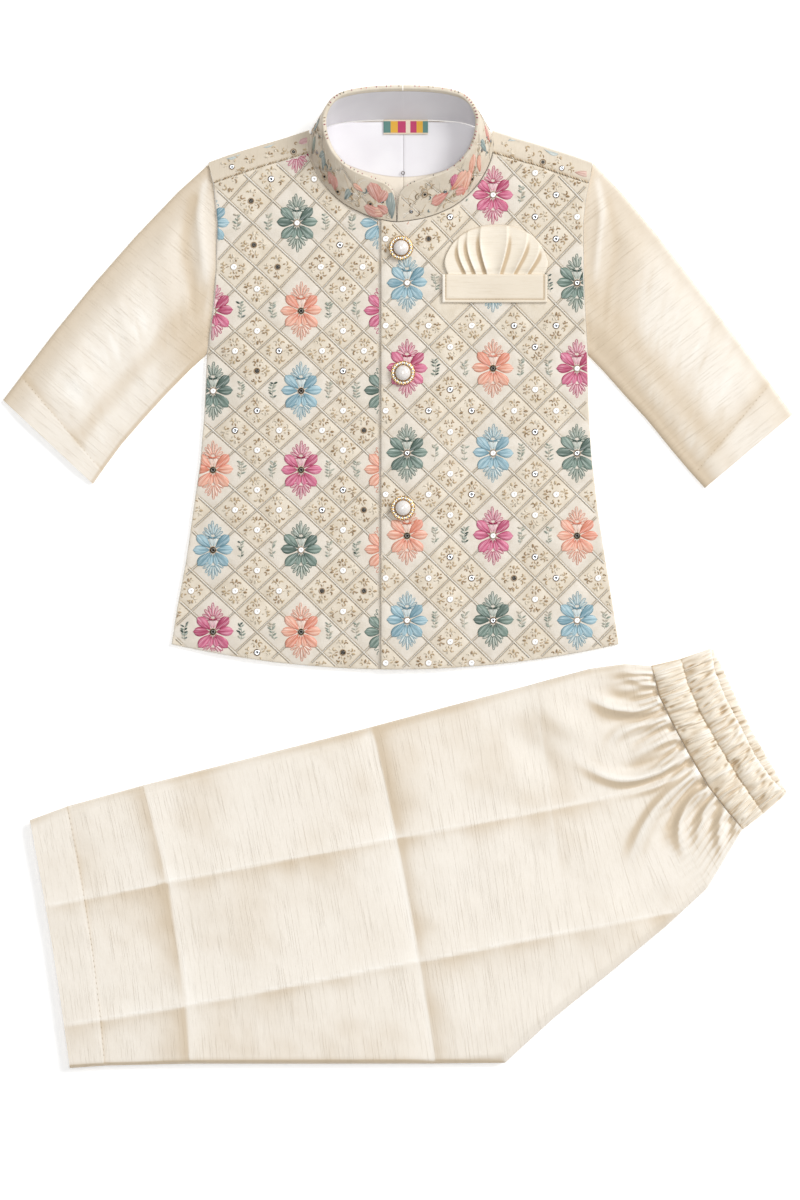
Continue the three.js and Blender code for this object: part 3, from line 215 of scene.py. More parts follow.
def along(rows, key, at, column):
    """Value of one named column at a place along another, straight between rows and past the ends."""
    keys, values = rows[key], rows[column]
    if keys[-1] < keys[0]:
        keys, values = keys[::-1], values[::-1]
    at = np.asarray(at, float)
    k = np.clip(np.searchsorted(keys, at, side="right") - 1, 0, len(keys) - 2)
    return mix(values[k], values[k + 1], (at - keys[k]) / (keys[k + 1] - keys[k]))


def curve_at(rows, column, at):
    """The same on a smooth curve through rows that are numbered 0, 1, 2 and so on."""
    values = rows[column]
    last = len(values) - 1
    k = np.clip(np.floor(at).astype(int), 0, last - 1)
    s = at - k
    a, b, c, d = (values[np.clip(k + n, 0, last)] for n in (-1, 0, 1, 2))
    return b + 0.5 * s * (c - a + s * (2 * a - 5 * b + 4 * c - d + s * (3 * (b - c) + d - a)))


def soft_noise(x, y, size, seed):
    """Smooth unevenness from -1 to 1, the same on each run."""
    grid = np.random.RandomState(seed).uniform(-1, 1, (61, 61))
    u, v = np.asarray(x) / size + 500.3, np.asarray(y) / size + 500.7
    i, j = np.floor(u).astype(int), np.floor(v).astype(int)
    s, t = smooth(u - i), smooth(v - j)
    near = mix(grid[i % 61, j % 61], grid[(i + 1) % 61, j % 61], s)
    far = mix(grid[i % 61, (j + 1) % 61], grid[(i + 1) % 61, (j + 1) % 61], s)
    return mix(near, far, t)


def nearest_on(x, y, path):
    """Distance to a line of points, how far along it from 0 to 1, and the nearest place."""
    path = np.asarray(path, float)
    start, step = path[:-1], path[1:] - path[:-1]
    length = np.hypot(step[:, 0], step[:, 1])
    dx, dy = np.subtract.outer(x, start[:, 0]), np.subtract.outer(y, start[:, 1])
    s = np.clip((dx * step[:, 0] + dy * step[:, 1]) / length ** 2, 0, 1)
    away = np.hypot(dx - s * step[:, 0], dy - s * step[:, 1])
    k = away.argmin(-1)
    pick = np.take_along_axis
    share = pick(s, k[..., None], -1)[..., 0]
    before = np.concatenate([[0], np.cumsum(length)])
    run = (before[k] + share * length[k]) / before[-1]
    return pick(away, k[..., None], -1)[..., 0], run, start[k] + share[..., None] * step[k], k


def curved(path, parts=5):
    """The same line of points rounded through its corners."""
    rows = {"x": np.array([p[0] for p in path], float), "y": np.array([p[1] for p in path], float)}
    at = np.linspace(0, len(path) - 1, (len(path) - 1) * parts + 1)
    return np.stack([curve_at(rows, "x", at), curve_at(rows, "y", at)], 1)


def beside(x, y, path):
    """Distance to a line of points, how far along it, and 1 on its left or -1 on its right."""
    away, run, place, k = nearest_on(x, y, path)
    step = np.diff(np.asarray(path, float), axis=0)[k]
    left = step[..., 0] * (y - place[..., 1]) - step[..., 1] * (x - place[..., 0])
    return away, run, np.sign(left)


def lit_side(points, gain):
    """How far each place of a grid of points leans to the light, from -1 to 1."""
    across = np.cross(np.gradient(points, axis=0), np.gradient(points, axis=1))
    across /= np.linalg.norm(across, axis=2)[..., None] + 1e-9
    across *= np.sign(across[..., 2:3] + 1e-9)
    return np.clip(gain * (across[..., 0] * light_way[0] + across[..., 1] * light_way[1]), -1, 1)


def soft_ridge(x, y, path, rise, near, far, fade=0.25, start=0.04):
    """A rounded fold along a line, widening from near to far and fading at its ends."""
    away, run, _, _ = nearest_on(x, y, curved(path))
    width = mix(near, far, run)
    ends = smooth((1 - run) / fade) * smooth(run / start + (0.4 if start < 0.1 else 0))
    return rise * ends * bell(away, width)


def resample(path, step):
    """A line of points at even steps, its ends kept."""
    path = np.asarray(path, float)
    length = np.concatenate([[0], np.cumsum(np.hypot(*np.diff(path, axis=0).T))])
    count = max(1, round(length[-1] / step))
    at = np.linspace(0, length[-1], count + 1)
    return np.stack([np.interp(at, length, path[:, k]) for k in (0, 1)], 1)


def loop_of(*stretches):
    """A closed outline from stretches that follow each other, without doubled points."""
    points = np.concatenate(stretches)
    kept = [points[0]]
    for point in points[1:]:
        if np.hypot(*(point - kept[-1])) > 0.05:
            kept.append(point)
    if np.hypot(*(kept[0] - kept[-1])) < 0.05:
        kept.pop()
    loop = np.array(kept)
    ahead = np.roll(loop, -1, 0)
    turning = (loop[:, 0] * ahead[:, 1] - ahead[:, 0] * loop[:, 1]).sum()
    return loop if turning > 0 else loop[::-1]


def depth_inside(x, y, loop):
    """How far inside an anticlockwise outline, and the nearest place on it moved a little inwards."""
    closed = np.concatenate([loop, loop[:1]])
    away, _, place, k = nearest_on(x, y, closed)
    ax, ay = closed[:-1].T
    bx, by = closed[1:].T
    spans = (ay[None] > y[:, None]) != (by[None] > y[:, None])
    rise = np.where(np.abs(by - ay) < 1e-9, 1e-9, by - ay)
    crossing = spans & (x[:, None] < (bx - ax) * (y[:, None] - ay) / rise + ax)
    inside = crossing.sum(1) % 2 == 1
    step = (closed[1:] - closed[:-1])[k]
    inward = np.stack([-step[:, 1], step[:, 0]], 1) / np.hypot(*step.T)[:, None]
    return np.where(inside, away, -away), place, inward


def shrunk(loop, by):
    """An anticlockwise outline moved inwards."""
    tangent = np.roll(loop, -1, 0) - np.roll(loop, 1, 0)
    tangent /= np.hypot(*tangent.T)[:, None]
    return loop + by * np.stack([-tangent[:, 1], tangent[:, 0]], 1)


# Materials

class Value:
    """A number inside a material, so that shading is written as sums and products."""

    def __init__(self, finish, socket):
        self.finish = finish
        self.socket = socket

    def worked(self, operation, *values):
        return self.finish.node("ShaderNodeMath", {"operation": operation}, dict(enumerate(values)))

    def __add__(self, other):
        return self.worked("ADD", self, other)

    def __sub__(self, other):
        return self.worked("SUBTRACT", self, other)

    def __rsub__(self, other):
        return self.worked("SUBTRACT", other, self)

    def __mul__(self, other):
        return self.worked("MULTIPLY", self, other)

    def __truediv__(self, other):
        return self.worked("DIVIDE", self, other)

    __radd__ = __add__
    __rmul__ = __mul__

    def sine(self):
        return self.worked("SINE", self)

    def size(self):
        return self.worked("ABSOLUTE", self)

    def between(self, low, high):
        """0 below low, 1 above high, and a soft step between."""
        settings = {"interpolation_type": "SMOOTHSTEP"}
        return self.finish.node("ShaderNodeMapRange", settings, {"Value": self, "From Min": low, "From Max": high})


class Finish:
    """A material while its nodes are being added."""

    def __init__(self, name):
        self.material = bpy.data.materials.new(name)
        self.material.use_nodes = True
        self.nodes = self.material.node_tree.nodes
        self.links = self.material.node_tree.links
        self.nodes.clear()

    def node(self, kind, settings=None, inputs=None, output=0):
        made = self.nodes.new(kind)
        for name, value in (settings or {}).items():
            setattr(made, name, value)
        for name, value in (inputs or {}).items():
            if isinstance(value, Value):
                self.links.new(value.socket, made.inputs[name])
            else:
                made.inputs[name].default_value = value
        return None if output is None else Value(self, made.outputs[output])

    def attribute(self, name, output="Fac"):
        return self.node("ShaderNodeAttribute", {"attribute_name": name}, output=output)

    def scaled(self, vector, x, y, z=1.0):
        return self.node("ShaderNodeVectorMath", {"operation": "MULTIPLY"}, {0: vector, 1: (x, y, z)})

    def noise(self, vector, scale, detail=2.0, roughness=0.5):
        inputs = {"Vector": vector, "Scale": scale, "Detail": detail, "Roughness": roughness}
        return self.node("ShaderNodeTexNoise", None, inputs)

    def blend(self, share, first, second):
        inputs = {0: share, 6: first, 7: second}
        return self.node("ShaderNodeMix", {"data_type": "RGBA"}, inputs, output=2)

    def bump(self, height, distance):
        return self.node("ShaderNodeBump", None, {"Height": height, "Distance": distance * MM})

    def surface(self, **sockets):
        inputs = {name.replace("_", " "): value for name, value in sockets.items()}
        self.node("ShaderNodeOutputMaterial", None, {
            "Surface": self.node("ShaderNodeBsdfPrincipled", None, inputs),
        }, output=None)
        return self.material


def tone(red, green, blue):
    """A colour as it is seen on a screen, 0 to 255, for the materials."""
    def light(c):
        c = c / 255
        return c / 12.92 if c <= 0.04045 else ((c + 0.055) / 1.055) ** 2.4
    return (light(red), light(green), light(blue), 1.0)


def tones(*colours):
    return tuple(tone(*colour) for colour in colours)


def silk(name, cloth, shade, deep=(196, 172, 136), gloss=0.36, slub=1.0):
    """Dupion silk: a satin face with uneven thick threads across it, and a painted sheen and shade that follow its
    form.
    """
    finish = Finish(name)
    weave = finish.attribute("weave", "Vector")
    slubs = finish.noise(finish.scaled(weave, 0.024, 1.5), 1.0, 3.0, 0.62)
    thick = slubs.between(0.56, 0.70)
    fine = finish.noise(finish.scaled(weave, 0.16, 3.6), 1.0, 2.0, 0.5)
    drift = finish.noise(weave, 0.018, 2.0)
    warp = finish.noise(finish.scaled(weave, 2.2, 0.05), 1.0, 2.0, 0.5)
    share = thick * (0.42 * slub) + fine.between(0.42, 0.75) * 0.26 + drift.between(0.3, 0.8) * 0.16
    colour = finish.blend(share, tone(*cloth), tone(*shade))
    # The attribute below carries painted light: painted shade towards the deep tone where it is below 0, and a painted
    # highlight towards pale cream where it is above 0.
    glow = finish.attribute("glow")
    colour = finish.blend((glow * -1.0).between(0.0, 1.0) * 0.8, colour, tone(*deep))
    colour = finish.blend(glow.between(0.0, 1.0) * 0.7, colour, tone(251, 247, 239))
    height = thick * (0.55 * slub) + fine * 0.5 + warp * 0.18
    return finish.surface(
        Base_Color=colour,
        Roughness=gloss + thick * 0.10 + fine * 0.08,
        Normal=finish.bump(height, 0.16),
        Specular_IOR_Level=0.55,
        Sheen_Weight=0.22,
        Sheen_Roughness=0.35,
        Sheen_Tint=(1.0, 0.96, 0.88, 1.0),
    )


def embroidered_cloth(name):
    """Ground of the embroidered panels: creamy cells with stitched sprigs, plain ones round the flowers."""
    finish = Finish(name)
    weave = finish.attribute("weave", "Vector")
    rich = finish.attribute("butti_cell")
    from_cord = finish.attribute("from_cord")
    fine = finish.noise(finish.scaled(weave, 0.25, 2.4), 1.0, 3.0, 0.6)
    thread = finish.noise(finish.scaled(weave, 2.4, 0.25), 1.0, 3.0, 0.6)
    cloudy = finish.noise(weave, 0.09, 3.0)
    plain = finish.blend(cloudy.between(0.3, 0.75), tone(234, 226, 214), tone(221, 212, 198))
    creamy = finish.blend(cloudy.between(0.3, 0.75), tone(234, 224, 207), tone(219, 207, 187))
    ground = finish.blend(rich, plain, creamy)
    grain = fine * 0.5 + thread * 0.5
    ground = finish.blend(grain.between(0.42, 0.68) * 0.35, ground, tone(206, 190, 164))
    # Painted shade: the ground darkens towards tan beside the cords, as if shaded by them; the bump also sinks it
    # there.
    edge = 1 - from_cord.between(0.8, 1.7)
    ground = finish.blend(edge * 0.14, ground, tone(200, 175, 140))
    # The ground is greyed where asked: partly the collar's own duller cloth, and more on its left half as painted
    # shade.
    ground = finish.blend(finish.attribute("greyed_and_shaded") * 0.45, ground, tone(186, 168, 146))
    return finish.surface(
        Base_Color=ground,
        Roughness=0.55 + grain * 0.15,
        Normal=finish.bump(grain + edge * -0.6, 0.22),
        Sheen_Weight=0.12,
        Sheen_Roughness=0.4,
    )


def satin_thread(name, gloss=0.42):
    """Floss laid side by side; its colour comes with each stitch."""
    finish = Finish(name)
    tint = finish.attribute("tint", "Color")
    run = finish.attribute("run", "Vector")
    streak = finish.noise(finish.scaled(run, 1.9, 0.11), 1.0, 3.0, 0.6)
    strands = finish.noise(finish.scaled(run, 4.5, 0.06), 1.0, 1.0, 0.5)
    darker = finish.blend(0.62, (0.0, 0.0, 0.0, 1.0), tint)
    colour = finish.blend(streak.between(0.40, 0.60) * 0.60, tint, darker)
    paler = finish.blend(0.5, tint, (1.0, 1.0, 1.0, 1.0))
    colour = finish.blend((1 - streak).between(0.50, 0.66) * 0.55, colour, paler)
    return finish.surface(
        Base_Color=colour,
        Roughness=gloss + strands * 0.12,
        Normal=finish.bump(strands + streak * 0.5, 0.16),
        Sheen_Weight=0.25,
        Sheen_Roughness=0.35,
    )


def couching_thread(name):
    """Fine twisted cord, its colour given along it."""
    finish = Finish(name)
    tint = finish.attribute("tint", "Color")
    run = finish.attribute("run", "Vector")
    split = finish.node("ShaderNodeSeparateXYZ", None, {0: run}, 0)
    lengthways = finish.node("ShaderNodeSeparateXYZ", None, {0: run}, 1)
    twist = ((lengthways + split * 1.4) * (2 * math.pi / 1.3)).sine()
    uneven = finish.noise(run, 0.35, 3.0)
    # Painted shade: the cord darkens in the grooves between the turns of its twist; random patches darken it too.
    shade = finish.blend(0.88, (0.44, 0.32, 0.20, 1.0), tint)
    colour = finish.blend(twist.between(-1.0, -0.2), shade, tint)
    colour = finish.blend(uneven.between(0.45, 0.7) * 0.25, colour, shade)
    return finish.surface(
        Base_Color=colour,
        Roughness=0.5 + uneven * 0.1,
        Normal=finish.bump(twist, 0.12),
        Sheen_Weight=0.15,
        Sheen_Roughness=0.4,
    )


def white_lining(name):
    """Smooth white lining cloth, a little cool in the shade."""
    finish = Finish(name)
    weave = finish.attribute("weave", "Vector")
    grain = finish.noise(finish.scaled(weave, 2.6, 2.6), 1.0, 2.0)
    drift = finish.noise(weave, 0.03, 2.0)
    colour = finish.blend(drift.between(0.3, 0.75), tone(237, 235, 238), tone(229, 226, 230))
    facing = finish.attribute("facing")
    colour = finish.blend(facing.between(-0.4, 0.1), colour, tone(234, 224, 208))
    colour = finish.blend((1 - facing.size().between(0.25, 0.7)) * 0.25, colour, tone(150, 136, 130))
    return finish.surface(
        Base_Color=colour,
        Roughness=0.50 + grain * 0.12,
        Normal=finish.bump(grain, 0.06),
        Sheen_Weight=0.1,
    )


def woven_label(name):
    """Label tape with even upright stripes between two cream edges, and no mark on it."""
    finish = Finish(name)
    place = finish.attribute("weave", "Vector")
    across = finish.node("ShaderNodeSeparateXYZ", None, {0: place}, 0)
    up = finish.node("ShaderNodeSeparateXYZ", None, {0: place}, 1)
    share = across / label["width"] + 0.5
    sea, amber, rose, cream = tones((94, 140, 132), (232, 178, 62), (196, 62, 108), (240, 226, 204))
    bands = ((0.0, sea), (0.16, amber), (0.32, rose), (0.5, cream), (0.60, rose), (0.74, amber), (0.88, sea))
    stripes = finish.nodes.new("ShaderNodeValToRGB")
    stripes.color_ramp.interpolation = "CONSTANT"
    while len(stripes.color_ramp.elements) < len(bands):
        stripes.color_ramp.elements.new(0.99)
    for stop, (at, colour) in zip(stripes.color_ramp.elements, bands):
        stop.position, stop.color = at, colour
    finish.links.new(share.socket, stripes.inputs[0])
    striped = Value(finish, stripes.outputs[0])
    selvedge = up.size().between(0.39 * label["height"], 0.40 * label["height"])
    striped = finish.blend(selvedge, striped, tone(236, 220, 196))
    threads = ((across * (2 * math.pi / 0.5)).sine() + (up * (2 * math.pi / 0.42)).sine()) * 0.25 + 0.5
    return finish.surface(
        Base_Color=finish.blend(threads * 0.16, striped, tone(90, 60, 70)),
        Roughness=0.62 + threads * 0.1,
        Normal=finish.bump(threads, 0.12),
    )


def polished(name, colour, worn, gloss, metal, **more):
    """Metal, pearl or glass with a faint unevenness of its skin."""
    finish = Finish(name)
    place = finish.node("ShaderNodeTexCoord", None, None, "Object")
    cloud = finish.noise(place, 900.0, 3.0)
    return finish.surface(
        Base_Color=finish.blend(cloud.between(0.35, 0.7), tone(*colour), tone(*worn)),
        Roughness=gloss + cloud * 0.08,
        Metallic=metal,
        Normal=finish.bump(cloud, 0.03),
        **more,
    )


# Each silk: its cloth, the darker tone of its thick threads, the tone of its painted shade, its gloss and how strong
# its thick threads are
cream_silk = silk("cream_dupion", (241, 233, 221), (219, 205, 183), (206, 184, 152))
pocket_silk = silk("pocket_dupion", (240, 230, 213), (224, 207, 178), (190, 162, 122), 0.44, 0.6)
band_silk = silk("waistband_dupion", (238, 226, 207), (214, 196, 168), (186, 159, 121), 0.38, 0.5)
shoulder_silk = silk("shoulder_dupion", (220, 208, 189), (196, 179, 152), gloss=0.42, slub=0.6)
panel_cloth = embroidered_cloth("embroidered_silk")
lining_cloth = white_lining("white_lining_satin")
label_tape = woven_label("label_tape")
floss = satin_thread("satin_floss")
cord_thread = couching_thread("couching_cord")
sewing = couching_thread("sewing_thread")
gilt = polished("gilt_metal", (238, 208, 158), (210, 170, 112), 0.26, 1.0)
pearl = polished(
    "pearl_shell", (240, 236, 232), (226, 218, 212), 0.14, 0.0, Coat_Weight=0.7, Coat_Roughness=0.12,
)
crystal = polished(
    "clear_stone", (240, 240, 242), (206, 208, 214), 0.06, 0.35, Coat_Weight=1.0, Coat_Roughness=0.03,
)
# The silver sequins are painted near white: partly their own pale metal, partly a painted reflection of the bright
# room.
silver_sequin = polished("silver_sequin", (250, 249, 247), (236, 235, 233), 0.34, 0.3)
grey_sequin = polished("grey_sequin", (176, 178, 180), (140, 142, 146), 0.16, 1.0)
dark_sequin = polished("dark_sequin", (72, 70, 66), (44, 42, 40), 0.14, 1.0)

# Thread colours: the main one, its shade and its light
threads = {
    "green": tones((126, 150, 138), (62, 86, 76), (176, 192, 180)),
    "peach": tones((248, 186, 160), (226, 128, 98), (252, 214, 194)),
    "blue": tones((164, 200, 212), (104, 148, 164), (206, 228, 232)),
    "pink": tones((224, 112, 150), (172, 34, 86), (244, 178, 196)),
    "dull_blue": tones((146, 170, 170), (92, 120, 124), (186, 200, 194)),
    "coral": tones((232, 158, 144), (204, 104, 92), (240, 186, 172)),
}
sprig_tints = tones((196, 198, 182), (214, 204, 184), (160, 172, 158))
butti_tints = tones((206, 180, 142), (176, 146, 108), (240, 228, 206), (216, 194, 158))
cord_tints = tones((254, 250, 241), (246, 237, 220), (236, 220, 193), (219, 198, 165))


# Meshes

def build(name, points, faces, material, sharp=50, **fields):
    """An object in the frame's place from points in millimetres."""
    mesh = bpy.data.meshes.new(name)
    mesh.from_pydata((np.asarray(points, float) * MM).tolist(), [], faces)
    for field, values in fields.items():
        values = np.asarray(values, np.float32)
        kinds = {1: ("FLOAT", "value"), 2: ("FLOAT_VECTOR", "vector"), 4: ("FLOAT_COLOR", "color")}
        kind, key = kinds[1 if values.ndim == 1 else 2 if values.shape[1] == 3 else 4]
        mesh.attributes.new(field, kind, "POINT").data.foreach_set(key, values.ravel())
    work = bmesh.new()
    work.from_mesh(mesh)
    bmesh.ops.dissolve_degenerate(work, edges=work.edges, dist=1e-6)
    bmesh.ops.recalc_face_normals(work, faces=work.faces)
    work.to_mesh(mesh)
    work.free()
    mesh.polygons.foreach_set("use_smooth", [True] * len(mesh.polygons))
    mesh.set_sharp_from_angle(angle=math.radians(sharp))
    mesh.materials.append(material)
    piece = bpy.data.objects.new(name, mesh)
    bpy.context.scene.collection.objects.link(piece)
    return piece


def flat3(x, y, z=0.0):
    x, y, z = np.broadcast_arrays(np.asarray(x, float), y, z)
    return np.stack([x, y, z], -1)


def grid_faces(rows, columns, start=0, closed=False):
    """Four-sided faces over a grid of points, row by row; closed joins the last column to the first."""
    i, j = np.meshgrid(np.arange(rows - 1), np.arange(columns if closed else columns - 1), indexing="ij")
    k = (j + 1) % columns
    corners = (i * columns + j, i * columns + k, (i + 1) * columns + k, (i + 1) * columns + j)
    return (start + np.stack(corners, -1).reshape(-1, 4)).tolist()


def grid_rim(rows, columns):
    """The point numbers round the edge of a grid."""
    right = [i * columns + columns - 1 for i in range(1, rows)]
    far = [(rows - 1) * columns + j for j in range(columns - 2, -1, -1)]
    return [*range(columns), *right, *far, *[i * columns for i in range(rows - 2, 0, -1)]]


def plan_shell(name, outline, inner, top, bottom, material, reach=0.8, fields=None):
    """Cloth over a plan outline, with rolled edges: one layer of points above and one below."""
    rings = [outline, shrunk(outline, 0.3 * reach), shrunk(outline, reach)]
    deep = depth_inside(inner[:, 0], inner[:, 1], outline)[0] > reach + 0.6
    points = np.concatenate([*rings, inner[deep]])
    count = len(outline)
    edges = [(n, (n + 1) % count) for n in range(count)]
    made = delaunay_2d_cdt([Vector(p) for p in points.tolist()], edges, [], 1, 1e-5)
    source = np.array([origin[0] if origin else -1 for origin in made[3]])
    plan = np.array([tuple(v) for v in made[0]])
    used = sorted({n for face in made[2] for n in face})
    place = {n: k for k, n in enumerate(used)}
    faces = [[place[n] for n in face] for face in made[2]]
    source, plan = source[used], plan[used]
    share = np.where(source < count, 0.0, np.where(source < 2 * count, 0.3, 1.0))
    roll = 1 - np.sqrt(1 - (1 - share) ** 2)
    x, y = plan.T
    high, low = top(x, y), bottom(x, y)
    middle = (high + low) / 2
    high = mix(high, middle, 0.75 * roll)
    low = mix(low, middle, 0.35 * roll)
    total = len(plan)
    where = {int(s): k for k, s in enumerate(source) if 0 <= s < count}
    walls = []
    for n in range(count):
        a, b = where.get(n), where.get((n + 1) % count)
        if a is not None and b is not None:
            walls.append([a, a + total, b + total, b])
    faces = faces + [[n + total for n in reversed(face)] for face in faces] + walls
    points = np.concatenate([flat3(x, y, high), flat3(x, y, low)])
    given = {"weave": flat3(x, y)}
    given.update(fields(x, y) if fields else {})
    doubled = {key: np.concatenate([value, value]) for key, value in given.items()}
    return build(name, points, faces, material, **doubled)


def grid_shell(name, top, bottom, weave, material, sharp=50, **fields):
    """Cloth between two grids of points with the same rows and columns."""
    rows, columns = top.shape[:2]
    total = rows * columns
    faces = grid_faces(rows, columns) + grid_faces(rows, columns, total)
    rim = grid_rim(rows, columns)
    for n, a in enumerate(rim):
        b = rim[(n + 1) % len(rim)]
        faces.append([a, b, b + total, a + total])
    points = np.concatenate([top.reshape(-1, 3), bottom.reshape(-1, 3)])
    both = {key: np.concatenate([value.reshape(total, -1)] * 2) for key, value in fields.items()}
    both = {key: value[:, 0] if value.shape[1] == 1 else value for key, value in both.items()}
    flat = np.concatenate([weave.reshape(-1, 3)] * 2)
    return build(name, points, faces, material, sharp, weave=flat, **both)


class Stitched:
    """Many small stitched shapes gathered into one mesh."""

    def __init__(self):
        self.points, self.faces, self.tints, self.runs, self.count = [], [], [], [], 0

    def add(self, points, faces, tint, run):
        self.points.append(points)
        self.faces += [[n + self.count for n in face] for face in faces]
        self.tints.append(np.broadcast_to(tint, (len(points), 4)))
        self.runs.append(run)
        self.count += len(points)

    def tube(self, path, up, radius, tint, sides=5, low=1.0, closed=False):
        """A thread along a path, resting on a surface whose outward direction is up."""
        path, up = np.asarray(path, float), np.asarray(up, float)
        count = len(path)
        if closed:
            ahead = np.roll(path, -1, 0) - np.roll(path, 1, 0)
        else:
            ahead = np.gradient(path, axis=0)
        ahead /= np.linalg.norm(ahead, axis=1)[:, None] + 1e-9
        side = np.cross(ahead, up)
        side /= np.linalg.norm(side, axis=1)[:, None] + 1e-9
        angle = np.arange(sides) * 2 * math.pi / sides + math.pi / 2
        radius = np.broadcast_to(radius, count)[:, None, None]
        ring = side[:, None] * np.cos(angle)[None, :, None] + low * up[:, None] * np.sin(angle)[None, :, None]
        points = (path[:, None] + radius * ring).reshape(-1, 3)
        far = np.concatenate([[0], np.cumsum(np.linalg.norm(np.diff(path, axis=0), axis=1))])
        across = np.broadcast_to(np.arange(sides) * 0.5, (count, sides))
        run = flat3(across, np.broadcast_to(far[:, None], (count, sides)), self.count * 0.37).reshape(-1, 3)
        faces = grid_faces(count, sides, closed=True)
        if closed:
            last = (count - 1) * sides
            faces += [[last + k, last + (k + 1) % sides, (k + 1) % sides, k] for k in range(sides)]
        else:
            faces += [list(range(sides))[::-1], [(count - 1) * sides + k for k in range(sides)]]
        self.add(points, faces, tint, run)

    def piece(self, name, material):
        tints, runs = np.concatenate(self.tints), np.concatenate(self.runs)
        return build(name, np.concatenate(self.points), self.faces, material, tint=tints, run=runs)


# Kurta body lines

def side_x(side, y):
    return along(body_sides, "y", y, side)


def hem_y(x):
    return hem["low"] + hem["rise"] * ((x - hem["middle"]) / hem["half"]) ** 2


def air_at(x, y):
    """Air between back and front: none at the side seams, held up by the sleeves above them."""
    inside = np.minimum(x - side_x("left", y), side_x("right", y) - x)
    held = 45 * smooth((y - underarm_y + 12) / 45)
    ease = smooth((y - hem_y(x) + 14) / 40)
    return front_air * smooth((inside + held) / 42) * mix(0.35, 1, ease)


def front_top(x, y):
    uneven = 0.30 * soft_noise(x, y, 34, 11) + 0.12 * soft_noise(x, y, 13, 12)
    return 2 * body_wall + seam_gap + air_at(x, y) + uneven - 0.1


def over_top(x, y):
    return front_top(x, y) + placket_lift * (1 - smooth((x - 23) / 32))


def chart_lean(chart, y):
    """Sideways drift of the trellis towards the top of a panel."""
    most, start, reach = chart.get("lean", (0, 0, 1))
    return most * (smooth((y - start) / reach) + 0.03 * np.maximum(y - start - reach, 0))


def chart_place(chart, i, j):
    """Place of a crossing of the trellis."""
    y = along(chart["rows"], "n", j, "at")
    return along(chart["columns"], "n", i, "at") + chart_lean(chart, y), y


def chart_of(chart, x, y):
    """The trellis line numbers at a place: whole where a cord lies."""
    i = along(chart["columns"], "at", x - chart_lean(chart, y), "n")
    j = along(chart["rows"], "at", y, "n")
    return (i + j) / 2, (i - j) / 2


def cord_distances(p, q):
    return cell_width * np.abs(p - np.round(p)), cell_width * np.abs(q - np.round(q))


def from_flower(chart, p, q):
    """Distance to the nearest flower crossing."""
    i, j = p + q, p - q
    x, y = chart_place(chart, i, j)
    flower_i, flower_j = 4 * np.round(i / 4), 4 * np.round(j / 4)
    fx, fy = chart_place(chart, flower_i, flower_j)
    away = np.hypot(x - fx, y - fy)
    for bare_i, bare_j in chart.get("bare", ()):
        away = np.where((flower_i == bare_i) & (flower_j == bare_j), 30.0, away)
    return away


def butti_cell(chart, i, j):
    """True for the cells that hold a small motif round a sequin."""
    chosen = ((i % 4 == 2) & (j % 2 == 1)) | ((j % 4 == 2) & (i % 2 == 1))
    for bare_i, bare_j in chart.get("bare", ()):
        chosen = chosen | (np.abs(i - bare_i) + np.abs(j - bare_j) == 1)
    return chosen


def quilt(chart, x, y):
    """Puff of the cells between the cords, flat under the flowers."""
    p, q = chart_of(chart, x, y)
    near_p, near_q = cord_distances(p, q)
    puff = (1 - bell(near_p, 3.2)) * (1 - bell(near_q, 3.2))
    under_flower = smooth((from_flower(chart, p, q) - 7) / 7)
    return mix(0.1, -0.2 + 0.5 * puff, under_flower)


def cell_fields(chart, x, y):
    """What the ground's colour needs: the kind of cell, and the distance to a cord."""
    p, q = chart_of(chart, x, y)
    p_middle, q_middle = np.floor(p) + 0.5, np.floor(q) + 0.5
    i, j = np.round(p_middle + q_middle).astype(int), np.round(p_middle - q_middle).astype(int)
    butti = butti_cell(chart, i, j)
    near = np.minimum(*cord_distances(p, q))
    gap = np.maximum(near, 3.0 * (1 - smooth((from_flower(chart, p, q) - 11) / 3)))
    return {"butti_cell": butti.astype(float), "from_cord": gap}


def cell_points(chart, box):
    """Points over the trellis cells inside a box, closer together beside the cords."""
    (x0, y0), (x1, y1) = box
    corners = [chart_of(chart, np.array(x), np.array(y)) for x in (x0, x1) for y in (y0, y1)]
    low = np.floor(np.min(corners, 0)).astype(int) - 1
    high = np.ceil(np.max(corners, 0)).astype(int) + 1
    lines = [(np.arange(a, b)[:, None] + np.array(cell_shares)).ravel() for a, b in zip(low, high)]
    p, q = (g.ravel() for g in np.meshgrid(*lines, indexing="ij"))
    x, y = chart_place(chart, p + q, p - q)
    kept = (x > x0) & (x < x1) & (y > y0) & (y < y1)
    return np.stack([x[kept], y[kept]], 1)


# Collar ring

def collar_frame(side, at):
    """Foot, outward and upward directions and height of the collar at stations of one half."""
    at = np.asarray(at, float)
    last = len(collar_rows["y"]) - 1

    def ends(a):
        mid = curve_at(collar_rows, "mid", a)
        foot = flat3(mid + side * curve_at(collar_rows, "out", a), curve_at(collar_rows, "y", a),
                     curve_at(collar_rows, "z", a))
        top = flat3(mid + side * curve_at(collar_rows, "top_out", a), curve_at(collar_rows, "top_y", a),
                    curve_at(collar_rows, "top_z", a))
        return foot, top

    foot, top = ends(at)
    before, after = ends(np.maximum(at - 0.2, 0)), ends(np.minimum(at + 0.2, last))
    forward = after[0] + after[1] - before[0] - before[1]
    up = top - foot
    height = np.linalg.norm(up, axis=1)
    up /= height[:, None]
    out = np.cross(forward, up) * side
    out /= np.linalg.norm(out, axis=1)[:, None]
    return foot, out, up, height


collar_end = len(collar_rows["y"]) - 1
fine_stations = np.linspace(0, collar_end, 400)


